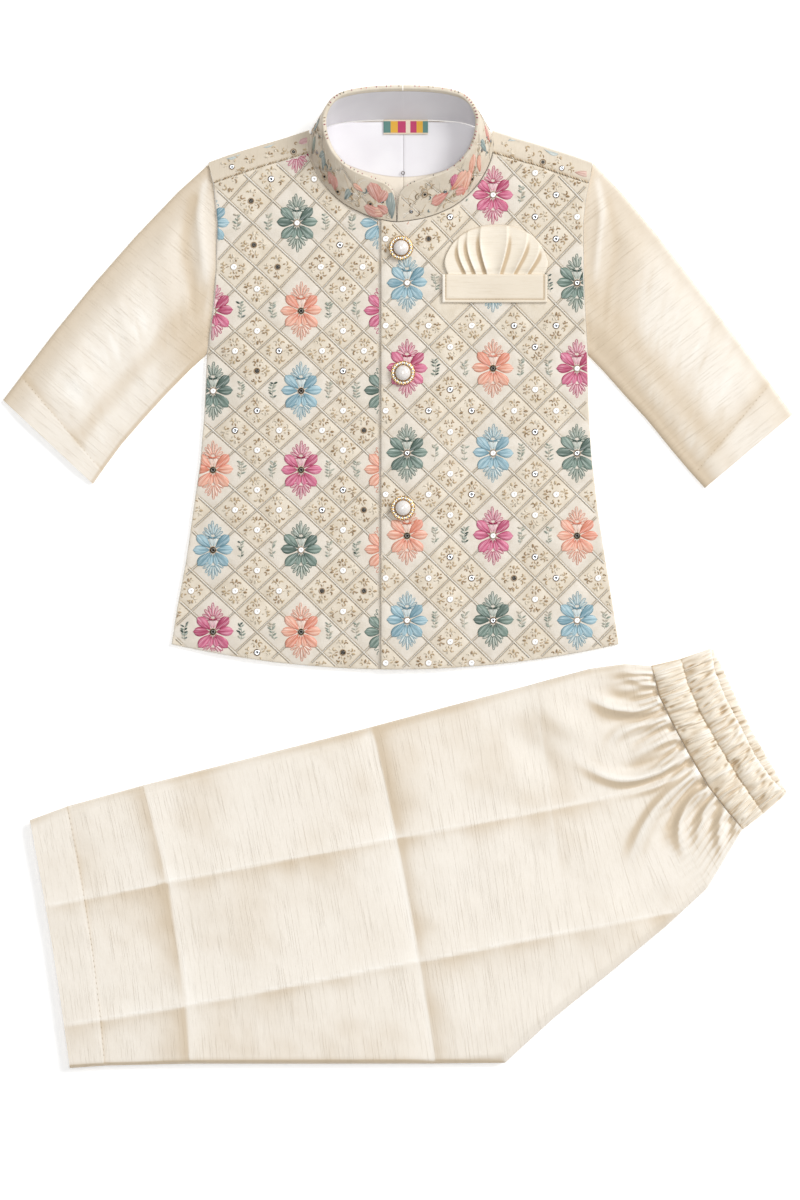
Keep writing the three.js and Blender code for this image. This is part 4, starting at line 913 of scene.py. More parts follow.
def collar_lengths(side):
    """Length round the collar at each fine station, half way up it."""
    foot, _, up, height = collar_frame(side, fine_stations)
    middle = foot + up * (height / 2)[:, None]
    return np.concatenate([[0], np.cumsum(np.linalg.norm(np.diff(middle, axis=0), axis=1))])


collar_run = {side: collar_lengths(side) for side in (-1, 1)}


def neck_curve(side, outwards, high):
    """Collar seam in plan, from beyond the front middle round one half, up to a station."""
    at = np.arange(-4, high, 0.05)
    points = []
    for a in at:
        half = side if a >= 0 else -side
        foot = collar_frame(half, [abs(a)])[0][0, :2]
        away = foot - neck_middle
        points.append(foot + outwards * away / np.hypot(*away))
    return np.array(points)


# Front panels

class Panel:
    """A flat or gently curved stretch of cloth that embroidery can be placed on."""

    def __init__(self, chart, height, outline, plain=quilt):
        self.chart, self.height, self.outline, self.relief = chart, height, outline, plain

    def ground(self, x, y):
        return self.relief(self.chart, x, y)

    def place(self, x, y, rise):
        return flat3(x, y, self.height(x, y) + rise)

    def up(self, x, y):
        return np.broadcast_to([0.0, 0.0, 1.0], (len(x), 3))

    def inside(self, x, y):
        return depth_inside(np.atleast_1d(np.asarray(x, float)), np.atleast_1d(np.asarray(y, float)), self.outline)


def front_outline(side, inner):
    """Plan of a front panel: shoulder seam, armhole and side, hem, front edge and neck."""
    seam = np.stack([shoulders[side], shoulders["seam"] - 0.4], 1)
    seam[-1] = (side_x(side, 284), 283.7)
    edge = np.stack([body_sides[side][2:], body_sides["y"][2:]], 1)
    corner = body_sides[side][-1]
    hem_x = np.linspace(corner, inner, 80)
    neck = neck_curve(-1 if side == "left" else 1, 0.5, 10.0)
    seam_at_neck = along(shoulders, side, neck[:, 0], "seam") - 0.4
    sign = -1 if side == "left" else 1
    kept = neck[(sign * (neck[:, 0] - inner) >= 0) & (neck[:, 1] < seam_at_neck)]
    start_y = np.interp(inner, *(kept[:40:39, k] for k in (0, 1))) if len(kept) > 40 else kept[0, 1]
    front_edge = [(inner, hem_y(inner)), (inner, min(start_y, kept[0, 1]))]
    outer_seam = seam[sign * seam[:, 0] > sign * kept[-1, 0] + 1]
    return loop_of(
        resample(front_edge, 2.4),
        resample(kept, 2.0),
        resample(np.concatenate([kept[-1:], outer_seam]), 2.4),
        resample(np.concatenate([seam[-1:], edge]), 2.4),
        resample(np.stack([hem_x, hem_y(hem_x)], 1), 2.4),
    )


left_outline = front_outline("left", extension_x)
right_outline = front_outline("right", placket_x)


def front_piece(name, outline, chart, height):
    low, high = outline.min(0), outline.max(0)
    points = cell_points(chart, (low, high))
    return plan_shell(
        name, outline, points,
        lambda x, y: height(x, y) + quilt(chart, x, y),
        lambda x, y: height(x, y) - body_wall,
        panel_cloth, fields=lambda x, y: cell_fields(chart, x, y),
    )


def under_height(x, y):
    """The left panel goes flat where the placket covers it."""
    return front_top(x, y) - 0.45 * smooth((x - placket_x + 1.2) / 2.0)


front_left = front_piece("front_left", left_outline, trellis["under"], under_height)
front_right = front_piece("front_right", right_outline, trellis["over"], over_top)

shown_left = np.array(left_outline)
shown_left[:, 0] = np.minimum(shown_left[:, 0], placket_x - 0.9)
shown_left = loop_of(shown_left)
left_panel = Panel(trellis["under"], under_height, shown_left)
right_panel = Panel(trellis["over"], over_top, right_outline)


# Embroidery

def shown_runs(shown, least=3, closed=False):
    """Stretches of a line that lie on the cloth, as lists of point numbers."""
    if shown.all():
        return [(list(range(len(shown))), closed)]
    order = list(range(len(shown)))
    if closed and shown[0]:
        first_gap = int(np.flatnonzero(~shown)[0])
        order = order[first_gap:] + order[:first_gap]
    runs, current = [], []
    for n in order:
        if shown[n]:
            current.append(n)
        elif current:
            runs.append(current)
            current = []
    if current:
        runs.append(current)
    return [(run, False) for run in runs if len(run) >= least]


def thread_line(panel, into, x, y, radius, tint, closed=False, rise=0.0, sides=4):
    """A raised stitch line lying on the ground, left out where the cloth ends."""
    x, y = np.asarray(x, float), np.asarray(y, float)
    radius = np.broadcast_to(np.asarray(radius, float), x.shape)
    for run, joined in shown_runs(panel.inside(x, y)[0] > 0.6, closed=closed):
        rx, ry, thick = x[run], y[run], radius[run]
        lift = panel.ground(rx, ry) + rise + 0.55 * thick.max()
        into.tube(panel.place(rx, ry, lift), panel.up(rx, ry), thick, tint, sides=sides, low=0.8, closed=joined)


def couched_cords(panel, into, box, scale=1.0):
    """Couched cords along the trellis lines, ending at the flowers and at the cloth's edges.

    One way a round cream cord lies between two fine tan ones; the other way two tan cords hold a flat cream one.
    """
    (x0, y0), (x1, y1) = box
    corners = [chart_of(panel.chart, np.array(x), np.array(y)) for x in (x0, x1) for y in (y0, y1)]
    low, high = np.floor(np.min(corners, 0)), np.ceil(np.max(corners, 0))
    strands = (
        ((0.0, 0.34, 0.02, 0), (-0.66, 0.20, 0.0, 1), (0.66, 0.20, 0.0, 1)),
        ((0.0, 0.48, 0.06, 0), (-0.80, 0.17, -0.02, 1), (0.80, 0.17, -0.02, 1)),
    )
    for which in (0, 1):
        for line in np.arange(low[which], high[which] + 1):
            run = np.arange(low[1 - which], high[1 - which], 0.09)
            p, q = (np.full_like(run, line), run) if which == 0 else (run, np.full_like(run, line))
            x, y = chart_place(panel.chart, p + q, p - q)
            near = (x > x0 - 2) & (x < x1 + 2) & (y > y0 - 2) & (y < y1 + 2)
            if near.sum() < 4:
                continue
            x, y, p, q = x[near], y[near], p[near], q[near]
            shown = (panel.inside(x, y)[0] > 1.1) & (from_flower(panel.chart, p, q) > 13.4)
            for part, _ in shown_runs(shown, 4):
                cx, cy = x[part], y[part]
                dx, dy = np.gradient(cx), np.gradient(cy)
                length = np.hypot(dx, dy)
                for away, radius, rise, fine in strands[which]:
                    wave = scale * away * (1 + 0.16 * soft_noise(cx + 7 * away, cy, 8, 21))
                    wave = wave + 0.10 * soft_noise(cx, cy + 9 * away, 6, 22)
                    px, py = cx - wave * dy / length, cy + wave * dx / length
                    thick = scale * radius * (1 + 0.15 * soft_noise(px, py, 5, 23))
                    path = panel.place(px, py, -0.2 + scale * radius + rise)
                    pale = 0.5 + 0.5 * soft_noise(px, py, 17, 31 + which)
                    first, second = cord_tints[2 * fine:2 * fine + 2]
                    tint = mix(np.array(second), np.array(first), pale[:, None])
                    into.tube(path, panel.up(px, py), thick, np.repeat(tint, 4, 0), sides=4, low=0.55)


def petal(panel, into, x, y, angle, base, tip, width, rise, tints, lean=0.0):
    """One satin-stitched petal: a low dome, widest past its middle, with a groove and a rounded point."""
    u, v = np.meshgrid(np.linspace(0, 1, 13), np.linspace(-1, 1, 11), indexing="ij")
    swell = np.sin(math.pi * u ** 1.55) ** 0.62 * (0.94 - 0.10 * u) + 0.13 * (1 - u)
    swell = swell * (1 - 0.5 * smooth((u - 0.94) / 0.06))
    out = mix(base, tip - 0.5 * v * v * (u > 0.9), u)
    across = v * width / 2 * swell + lean * u * (1 - u)
    c, s = math.cos(angle), math.sin(angle)
    px, py = x + out * c - across * s, y + out * s + across * c
    dome = np.sqrt(np.clip(1 - v * v, 0, 1)) * np.sin(math.pi * np.clip(u, 0.03, 0.97)) ** 0.4
    groove = 0.22 * bell(v, 0.16) * smooth(u / 0.2)
    ribs = 0.05 * np.sin(v * 13.0 + 3.0 * u)
    height = rise * (dome * (1 - groove) + ribs * dome)
    px, py, height = px.ravel(), py.ravel(), height.ravel()
    if panel.inside(x, y)[0][0] < tip + 2:
        depth, place, inward = panel.inside(px, py)
        outside = depth < 0.5
        if outside.all():
            return
        held = place + 0.5 * inward
        px, py = np.where(outside, held[:, 0], px), np.where(outside, held[:, 1], py)
        height = np.where(outside, np.minimum(height, 0.25), height)
    faces = grid_faces(*u.shape) + [grid_rim(*u.shape)[::-1]]
    main, deep, pale = (np.array(t) for t in tints)
    # The tint is partly the thread's own shading, darker at the base, and partly painted light: painted shade along
    # the middle groove and the edges, more on the side turned from the light, and at the tip, with painted highlights
    # either side of the middle.
    lower = np.clip(v * math.sin(angle + 1.2) + 0.2, 0, 1)
    shade = 0.95 * bell(u, 0.22) + 0.9 * bell(v, 0.13) * smooth((0.85 - u) / 0.5)
    shade = shade + 0.85 * smooth((np.abs(v) - 0.70) / 0.25) * (0.45 + 0.55 * lower)
    shade = shade + 0.5 * smooth((u - 0.93) / 0.07)
    shine = 0.75 * bell(v + 0.42, 0.24) * bell(u - 0.62, 0.28)
    shine = shine + 0.3 * bell(v - 0.40, 0.2) * bell(u - 0.68, 0.22)
    tint = mix(main, deep, np.clip(shade, 0, 1).reshape(-1, 1))
    tint = mix(tint, pale, np.clip(shine, 0, 1).reshape(-1, 1))
    points = panel.place(px, py, height + 0.12)
    into.add(points, faces, tint, flat3(across, out, angle * 7.0).reshape(-1, 3))


def leaf_loop(panel, into, x, y, angle, base, length, width, tint, fill_tint, thick=0.24):
    """Outline of a narrow leaf, filled with a stitch along its middle."""
    turn = np.linspace(0, 2 * math.pi, 12)[:-1]
    out = base + length * (0.5 - 0.5 * np.cos(turn))
    across = width / 2 * np.sin(turn) * (0.75 + 0.25 * np.cos(turn - 2.4))
    c, s = math.cos(angle), math.sin(angle)
    thread_line(panel, into, x + out * c - across * s, y + out * s + across * c, thick, tint, closed=True)
    middle = base + length * np.array([0.12, 0.4, 0.62, 0.85])
    fill = np.array([0.35, 0.6, 0.6, 0.2]) * width * 0.46
    thread_line(panel, into, x + middle * c, y + middle * s, fill, fill_tint, rise=-0.14)


def leaf_spray(panel, into, x, y, way, tints, order):
    """Fan of outlined leaves above or below a flower; way is 1 for up and -1 for down."""
    main, deep, pale = (np.array(t) for t in tints)
    line = mix(main, deep, 0.30)
    fill = mix(pale, np.array(tone(226, 218, 204)), 0.35)
    root_y = y + way * 8.4
    for fan_angle, base, length, width in (
        (0, 2.6, 10.2, 2.6), (17, 3.0, 7.8, 2.2), (-17, 3.0, 7.8, 2.2), (36, 2.4, 7.4, 2.5), (-36, 2.4, 7.4, 2.5),
        (58, 2.0, 6.6, 2.4), (-58, 2.0, 6.6, 2.4), (82, 1.8, 5.0, 2.1), (-82, 1.8, 5.0, 2.1),
    ):
        angle = math.radians(90 * way + fan_angle + 3 * order.uniform(-1, 1))
        leaf_loop(panel, into, x, root_y, angle, base, length, width, line, fill)
    for hand in (-1, 1) if way > 0 else ():
        path_x = x + hand * np.array([0.2, 1.2, 2.6, 3.2])
        path_y = y + np.array([8.6, 8.9, 9.2, 10.4])
        thread_line(panel, into, path_x, path_y, (0.6, 0.75, 0.6, 0.15), tints[1], rise=0.3)


def sprig(panel, into, x, y, hand, order, tint_of):
    """Small pale sprig beside a flower: short stitches of uneven size round a curved stem."""
    lean = 0.25 * order.uniform(-1, 1)
    stem = np.linspace(-6.0, 6.0, 7)

    def stem_x(at):
        return x + hand * 1.1 * (1 - (at / 6.2) ** 2) + lean * at * 0.4

    thread_line(panel, into, stem_x(stem), y + stem, 0.18, tint_of(0))
    for n, at in enumerate((-4.9, -2.9, -0.9, 1.2, 3.3, 5.0)):
        for side in (-1, 1):
            if order.uniform() < 0.12:
                continue
            angle = math.radians(90 - side * (40 + 16 * order.uniform(-1, 1)))
            length = (3.6 - 0.32 * abs(n - 2.5)) * (1 + 0.25 * order.uniform(-1, 1))
            out = length * np.array([0.18, 0.45, 0.75, 1.0])
            curl = side * 0.5 * np.array([0, 0.1, 0.4, 1.0])
            thick = np.array([0.2, 0.62, 0.56, 0.14]) * (1 + 0.2 * order.uniform(-1, 1))
            thread_line(
                panel, into, stem_x(at) + out * math.cos(angle) + curl, y + at + out * math.sin(angle) * 0.8,
                thick, tint_of(n + side + int(order.uniform() * 2)),
            )


def butti(panel, into, x, y, order, full=1.0):
    """Small motif of a plain cell: commas, curls and dots in four loose groups round a sequin."""
    turned_by = 9 * order.uniform(-1, 1)
    for arm in range(4):
        angle = math.radians(90 * arm + turned_by + 7 * order.uniform(-1, 1))
        reach = 0.95 + 0.08 * order.uniform(-1, 1)
        c, s = math.cos(angle), math.sin(angle)

        def at(out, across):
            return x + reach * out * c - across * s, y + reach * out * s + across * c

        def tint():
            return butti_tints[int(order.uniform() * len(butti_tints))]

        if order.uniform() < full * 0.85:
            stem = np.array([3.3, 4.4, 5.6])
            thread_line(panel, into, *at(stem, 0.5 * np.sin(stem * 1.3)), (0.2, 0.46, 0.2), tint())
        if order.uniform() < full:
            tip = np.array([7.0, 8.0, 9.0, 9.8])
            bow = 0.5 * order.uniform(-1, 1) * np.array([0, 1, 1, 0.4])
            thread_line(panel, into, *at(tip, bow), (0.3, 0.85, 0.7, 0.15), tint())
        for hand in (-1, 1):
            if order.uniform() > full:
                continue
            turn = np.linspace(0.2, 3.9 + 1.0 * order.uniform(-1, 1), 7)
            size = 1.25 + 0.3 * order.uniform(-1, 1)
            out = 6.3 + 0.5 * order.uniform(-1, 1) + size * np.sin(turn) * 0.9
            across = hand * (2.6 + size * np.cos(turn))
            thick = 0.44 * np.array([0.5, 0.9, 1.15, 1.25, 1.15, 0.8, 0.4])
            thread_line(panel, into, *at(out, across), thick, tint())
            if order.uniform() < 0.7:
                bud = np.array([3.8, 4.7, 5.5])
                lean = hand * (1.8 + 0.5 * (bud - 3.9) * order.uniform())
                thread_line(panel, into, *at(bud, lean), (0.2, 0.66, 0.22), tint())
            if order.uniform() < 0.6:
                dot = np.array([8.4, 9.0, 9.5])
                thread_line(panel, into, *at(dot, hand * np.array([2.2, 2.5, 2.7])), (0.25, 0.6, 0.2), tint())


def turned(into, profile, segments, place, up, tint=(1, 1, 1, 1)):
    """A small turned piece standing on a surface; profile is radius and height from foot to top."""
    profile = np.array(profile, float)
    helper = np.array([1.0, 0.0, 0.0])
    across = helper - np.dot(helper, up) * up
    across /= np.linalg.norm(across)
    other = np.cross(up, across)
    angle = np.arange(segments) * 2 * math.pi / segments
    ring = np.cos(angle)[:, None] * across + np.sin(angle)[:, None] * other
    points = (place + profile[:, None, 0:1] * ring[None] + profile[:, None, 1:2] * up).reshape(-1, 3)
    faces = grid_faces(len(profile), segments, closed=True)
    faces += [list(range(segments))[::-1], [(len(profile) - 1) * segments + k for k in range(segments)]]
    into.add(points, faces, tint, np.zeros((len(points), 3)))


sequin_profile = ((2.25, -0.1), (2.35, 0.12), (2.2, 0.3), (1.5, 0.42), (0.7, 0.34), (0.45, 0.2), (0.3, 0.05))


def ring_line(panel, into, x, y, radius, thick, tint):
    turn = np.linspace(0, 2 * math.pi, 13)[:-1]
    round_it = x + radius * np.cos(turn), y + radius * np.sin(turn)
    thread_line(panel, into, *round_it, thick, tint, closed=True, rise=0.1)


def sequin(panel, work, kind, x, y, size=1.0):
    """A domed sequin with its hole; the dark ones are small beads in a ring of tan thread."""
    x, y = np.atleast_1d(float(x)), np.atleast_1d(float(y))
    if panel.inside(x, y)[0][0] < 2.4 * size:
        return
    if kind == "dark":
        size = 0.66 * size
        ring_line(panel, work["marks"], x[0], y[0], 2.05, 0.34, butti_tints[1])
    else:
        ring_line(panel, work["marks"], x[0], y[0], 2.4 * size, 0.2, butti_tints[int(kind == "grey")])
    place = panel.place(x, y, panel.ground(x, y))[0]
    turned(work[kind], [(r * size, h) for r, h in sequin_profile], 16, place, panel.up(x, y)[0])


def flower(panel, work, x, y, colour, centre, shown, order):
    """Six large petals, a pale cup above and two short petals below, between two leaf sprays."""
    tints = threads[colour]
    main, deep, pale = (np.array(t) for t in tints)
    if shown:
        leaf_spray(panel, work["marks"], x, y, 1, tints, order)
    leaf_spray(panel, work["marks"], x, y, -1, tints, order)
    if not shown:
        return
    dark_petals = {1: 0.75, int(order.uniform() * 6): 0.6, 5: 0.35 * order.uniform()}
    for k, angle in enumerate((2, 44, 136, 178, 226, 314)):
        tip = (15.0 if angle in (2, 178) else 16.0) + 0.5 * order.uniform(-1, 1)
        turn = math.radians(angle + 2.5 * order.uniform(-1, 1))
        mine = mix(main, deep, dark_petals.get(k, 0.15 * order.uniform()))
        lit = mix(pale, mine, 0.25 + 0.5 * dark_petals.get(k, 0))
        petal(panel, work["floss"], x, y, turn, 2.7, tip, 7.6, 1.15, (mine, deep, lit))
    for angle in (256, 284):
        petal(panel, work["floss"], x, y, math.radians(angle), 3.0, 11.8, 4.4, 1.0, (main, deep, pale))
    cup = mix(pale, np.array(tone(226, 220, 208)), 0.5)
    cup_tints = (cup, mix(cup, main, 0.7), cup)
    for angle in (78, 102):
        petal(panel, work["floss"], x, y, math.radians(angle), 2.8, 9.6, 3.3, 0.5, cup_tints)
    ring_line(panel, work["marks"], x, y, 2.35, 0.3, butti_tints[1])
    here = np.array([x]), np.array([y])
    place = panel.place(*here, np.array([0.55]))[0]
    if panel.inside(x, y)[0][0] > 2.4:
        turned(work[centre], [(r * 0.86, h) for r, h in sequin_profile], 16, place, panel.up(*here)[0])


centres = {
    "under": {"green": "silver", "peach": "dark", "blue": "dark", "pink": "dark"},
    "over": {"green": "grey", "peach": "dark", "blue": "silver", "pink": "silver"},
}


def embroider(panel, side, work, dark_share):
    """All the flowers, sprigs, buttis and sequins of one front panel."""
    order = np.random.RandomState(5 if side == "under" else 6)
    first, rows = flower_rows[side]
    pocket = (welt["left"] - 2, welt["right"] + 2, welt["bottom"] - 3, fan["apex_y"] - 4)

    def under_pocket(x, y):
        return side == "over" and pocket[0] < x < pocket[1] and pocket[2] < y < pocket[3]

    for r, row in enumerate(rows):
        for c, colour in enumerate(row.split()):
            if colour == "none":
                continue
            x, y = (float(v) for v in chart_place(panel.chart, 4 * c, 4 * (r + first)))
            covered = under_pocket(x, y)
            flower(panel, work, x, y, colour, centres[side][colour], not covered, order)
            for hand in (-1, 1):
                dusky = order.uniform() < 0.3
                tint_base = (sprig_tints[2], threads["green"][1], sprig_tints[0]) if dusky else sprig_tints
                at = x + hand * 19.6
                if covered and pocket[0] < at < pocket[1]:
                    continue
                sprig(panel, work["marks"], at, y, hand, order, lambda n, t=tint_base: t[n % 3])
    for i in range(-5, 14):
        for j in range(-7, 25):
            if butti_cell(panel.chart, i, j):
                x, y = (float(v) for v in chart_place(panel.chart, i, j))
                if panel.inside(x, y)[0][0] < -6 or under_pocket(x, y):
                    continue
                butti(panel, work["marks"], x, y, order)
                draw = order.uniform()
                kind = "dark" if draw < dark_share else "grey" if draw < dark_share + 0.25 else "silver"
                sequin(panel, work, kind, x, y)


work = {kind: Stitched() for kind in ("floss", "marks", "dark", "grey", "silver", "cords")}
for side, panel, dark_share in (("under", left_panel, 0.30), ("over", right_panel, 0.08)):
    embroider(panel, side, work, dark_share)
    if side == "under":
        order = np.random.RandomState(9)
        leaf_spray(panel, work["marks"], -73, 312.5, -1, threads["pink"], order)
        petal(panel, work["floss"], -67, 305, math.radians(-12), 1, 11, 5.5, 0.9, (threads["pink"][1],) * 3)
        petal(panel, work["floss"], -78, 304, math.radians(205), 1, 8, 4, 0.9, threads["pink"])
    couched_cords(panel, work["cords"], (panel.outline.min(0), panel.outline.max(0)))


# Back panel with the shoulder cloth that wraps forward

def neck_x(side_sign, y):
    """Edge of the neck beside the shoulder."""
    return 2 + side_sign * (np.interp(y, collar_rows["y"][8:12], collar_rows["out"][8:12]) + 0.5)


def fold_x(side):
    out = np.array(shoulders[side])
    out[-1] += shoulder_flare[side]
    return out


def back_outline():
    hem_x = np.linspace(body_sides["left"][-1], body_sides["right"][-1], 140)
    left = np.stack([body_sides["left"][1:], body_sides["y"][1:]], 1)
    right = np.stack([body_sides["right"][1:], body_sides["y"][1:]], 1)[::-1]
    folds = {
        side: np.stack([fold_x(side)[1:], shoulders["fold"][1:] - wrap_fold_reach], 1) for side in ("left", "right")
    }
    rows = slice(10, 15)
    inset = 3.2
    neck = {
        sign: np.stack([
            collar_rows["mid"][rows] + sign * (collar_rows["out"][rows] - 0.6 * inset),
            collar_rows["y"][rows] - inset,
        ], 1) for sign in (-1, 1)
    }
    path = np.concatenate([
        left, np.stack([hem_x, hem_y(hem_x)], 1), right, folds["right"][::-1],
        neck[1], neck[-1][::-1], folds["left"], left[:1],
    ])
    return loop_of(resample(path, 2.6))


back_loop = back_outline()
back_points = cell_points(trellis["back"], (back_loop.min(0), back_loop.max(0)))[::2]
back_piece = plan_shell(
    "back", back_loop, back_points,
    lambda x, y: np.full_like(x, body_wall), lambda x, y: np.zeros_like(x),
    panel_cloth, reach=0.7, fields=lambda x, y: cell_fields(trellis["back"], x, y),
)


def shoulder_fold_y(side, x):
    fold_line = {"x": fold_x(side), "fold": shoulders["fold"]}
    return along(fold_line, "x", x, "fold") - wrap_fold_reach


# Section of the shoulder cloth from under the back round the fold: distance past the fold line, and height
fold_turn = np.radians(np.linspace(-90, 90, 9))
fold_bend = [(wrap_fold_reach * math.cos(a), wrap_fold_half * (1 + math.sin(a))) for a in fold_turn]
fold_section = [(-6.0, 0.0), *fold_bend]


def wrap_piece(side, sign):
    seam_share = np.linspace(0, 1, 10)[1:]
    across = np.linspace(0, 1, 60)
    grids = []
    for wall in (0.0, body_wall):
        rows = []
        for out, z in fold_section:
            x = mix(neck_x(sign, 316.0), fold_x(side)[-1], across)
            inner = max(0.0, out * (1 - wall / 1.9)) if out > 0 else out
            drawn_in = wrap_fold_half + (z - wrap_fold_half) * (1 - wall / 2.6)
            height = z if wall == 0 else max(drawn_in, body_wall)
            rows.append(flat3(x, shoulder_fold_y(side, x) + inner, height))
        for s in seam_share:
            y_here = mix(320.0, 306.0, s)
            end = mix(fold_x(side)[-1], shoulders[side][-1], s)
            x = mix(neck_x(sign, y_here), end, across)
            seam_y = along(shoulders, side, x, "seam")
            z = mix(2 * wrap_fold_half, wrap_seam_top, smooth(s)) + 0.5 * math.sin(math.pi * s) - 0.35 * (s == 1)
            uneven = 0.25 * soft_noise(x, seam_y, 17, 41) * math.sin(math.pi * s)
            rows.append(flat3(x, mix(shoulder_fold_y(side, x), seam_y, s), z + uneven - wall))
        grids.append(np.stack(rows))
    if sign < 0:
        grids = [g[:, ::-1] for g in grids]
    flat = flat3(grids[0][..., 1], grids[0][..., 0])
    # Painted light: lighter where the strip leans to the light, and a little darker overall.
    glow = lit_side(grids[0], 1.4) - 0.15
    return grid_shell(f"shoulder_{side}", *grids, flat, shoulder_silk, glow=glow)


shoulder_pieces = [wrap_piece("left", -1), wrap_piece("right", 1)]


def wrap_panel(side, sign):
    """The flat of the shoulder strip as a surface for stitching."""
    seam_x = np.linspace(neck_x(sign, 306.0) + sign * 1.0, shoulders[side][-1] - sign * 1.0, 30)
    seam = np.stack([seam_x, along(shoulders, side, seam_x, "seam") + 0.4], 1)
    fold = np.stack([seam_x, shoulder_fold_y(side, seam_x)], 1)

    def height(x, y):
        seam_y = along(shoulders, side, x, "seam")
        fold_y = shoulder_fold_y(side, x)
        s = np.clip((fold_y - y) / (fold_y - seam_y), 0, 1)
        return mix(2 * wrap_fold_half, wrap_seam_top, smooth(s)) + 0.5 * np.sin(math.pi * s)

    loop = loop_of(seam, fold[::-1])
    return Panel(trellis["back"], height, loop, lambda chart, x, y: np.zeros_like(np.asarray(x, float)))


for side, sign in (("left", -1), ("right", 1)):
    strip = wrap_panel(side, sign)
    order = np.random.RandomState(50 + sign)
    for n in range(4):
        x = mix(sign * 74.0, sign * 120.0, n / 3) + order.uniform(-3, 3)
        y = float(np.interp(abs(x), (66, 133), (311, 289))) + order.uniform(-3, 3)
        butti(strip, work["marks"], x, y, order, 0.6)
        if n != 1:
            sequin(strip, work, ("dark", "grey")[n % 2], x, y, 0.8)
    for x, y, angle, colour in (
        ((-86, 314, 197, "blue"), (-112, 305.5, 198, "blue"), (-60, 317, 200, "pink")) if sign < 0 else
        ((78, 314, 20, "blue"), (104, 309, -22, "blue"), (126, 292, -10, "coral"))
    ):
        main, deep, pale = (mix(np.array(t), np.array(tone(226, 216, 198)), 0.5) for t in threads[colour])
        petal(strip, work["floss"], x, y, math.radians(angle), 1.5, 12.5, 4.6, 0.5, (main, deep, pale))
    seam_x = np.linspace(neck_x(sign, 306.0) + sign * 1.5, shoulders[side][-1] - sign * 0.8, 34)
    for n, x in enumerate(seam_x[:-1]):
        xs = np.array([x, mix(x, seam_x[n + 1], 0.45), mix(x, seam_x[n + 1], 0.85)])
        ys = along(shoulders, side, xs, "seam") + np.array([0.9, 0.1, -0.5])
        zs = np.full(3, wrap_seam_top + 0.25)
        work["marks"].tube(flat3(xs, ys, zs), np.broadcast_to([0, 0, 1.0], (3, 3)),
                           np.array([0.26, 0.42, 0.26]), butti_tints[n % 4], sides=4)


# Collar

class CollarSurface:
    """Outside of one half of the collar: x is the length round from the front, y the height."""

    def __init__(self, side, chart):
        self.side, self.chart = side, chart
        self.outline = np.array([(1, 0.6), (150, 0.6), (150, 30), (30, 30), (20, 26), (9, 22), (3, 14), (1, 9)])

    def ground(self, x, y):
        return np.zeros_like(np.asarray(x, float))

    def frames(self, x):
        at = np.interp(x, collar_run[self.side], fine_stations)
        return collar_frame(self.side, at)

    def place(self, x, y, rise):
        foot, out, up, height = self.frames(x)
        y = np.minimum(y, height - 0.6)
        return foot + out * (np.asarray(rise) + 0 * x)[:, None] + up * np.asarray(y)[:, None]

    def up(self, x, y):
        return self.frames(x)[1]

    def inside(self, x, y):
        x, y = np.atleast_1d(np.asarray(x, float)), np.atleast_1d(np.asarray(y, float))
        height = self.frames(x)[3] - 1.2
        end = collar_run[self.side][-1]
        depth = np.minimum(np.minimum(y - 0.3, height - y), np.minimum(x - 0.8, end - 0.5 - x))
        place = np.stack([np.clip(x, 0.8, end - 0.5), np.clip(y, 0.3, height)], 1)
        return depth, place, np.zeros((len(x), 2))


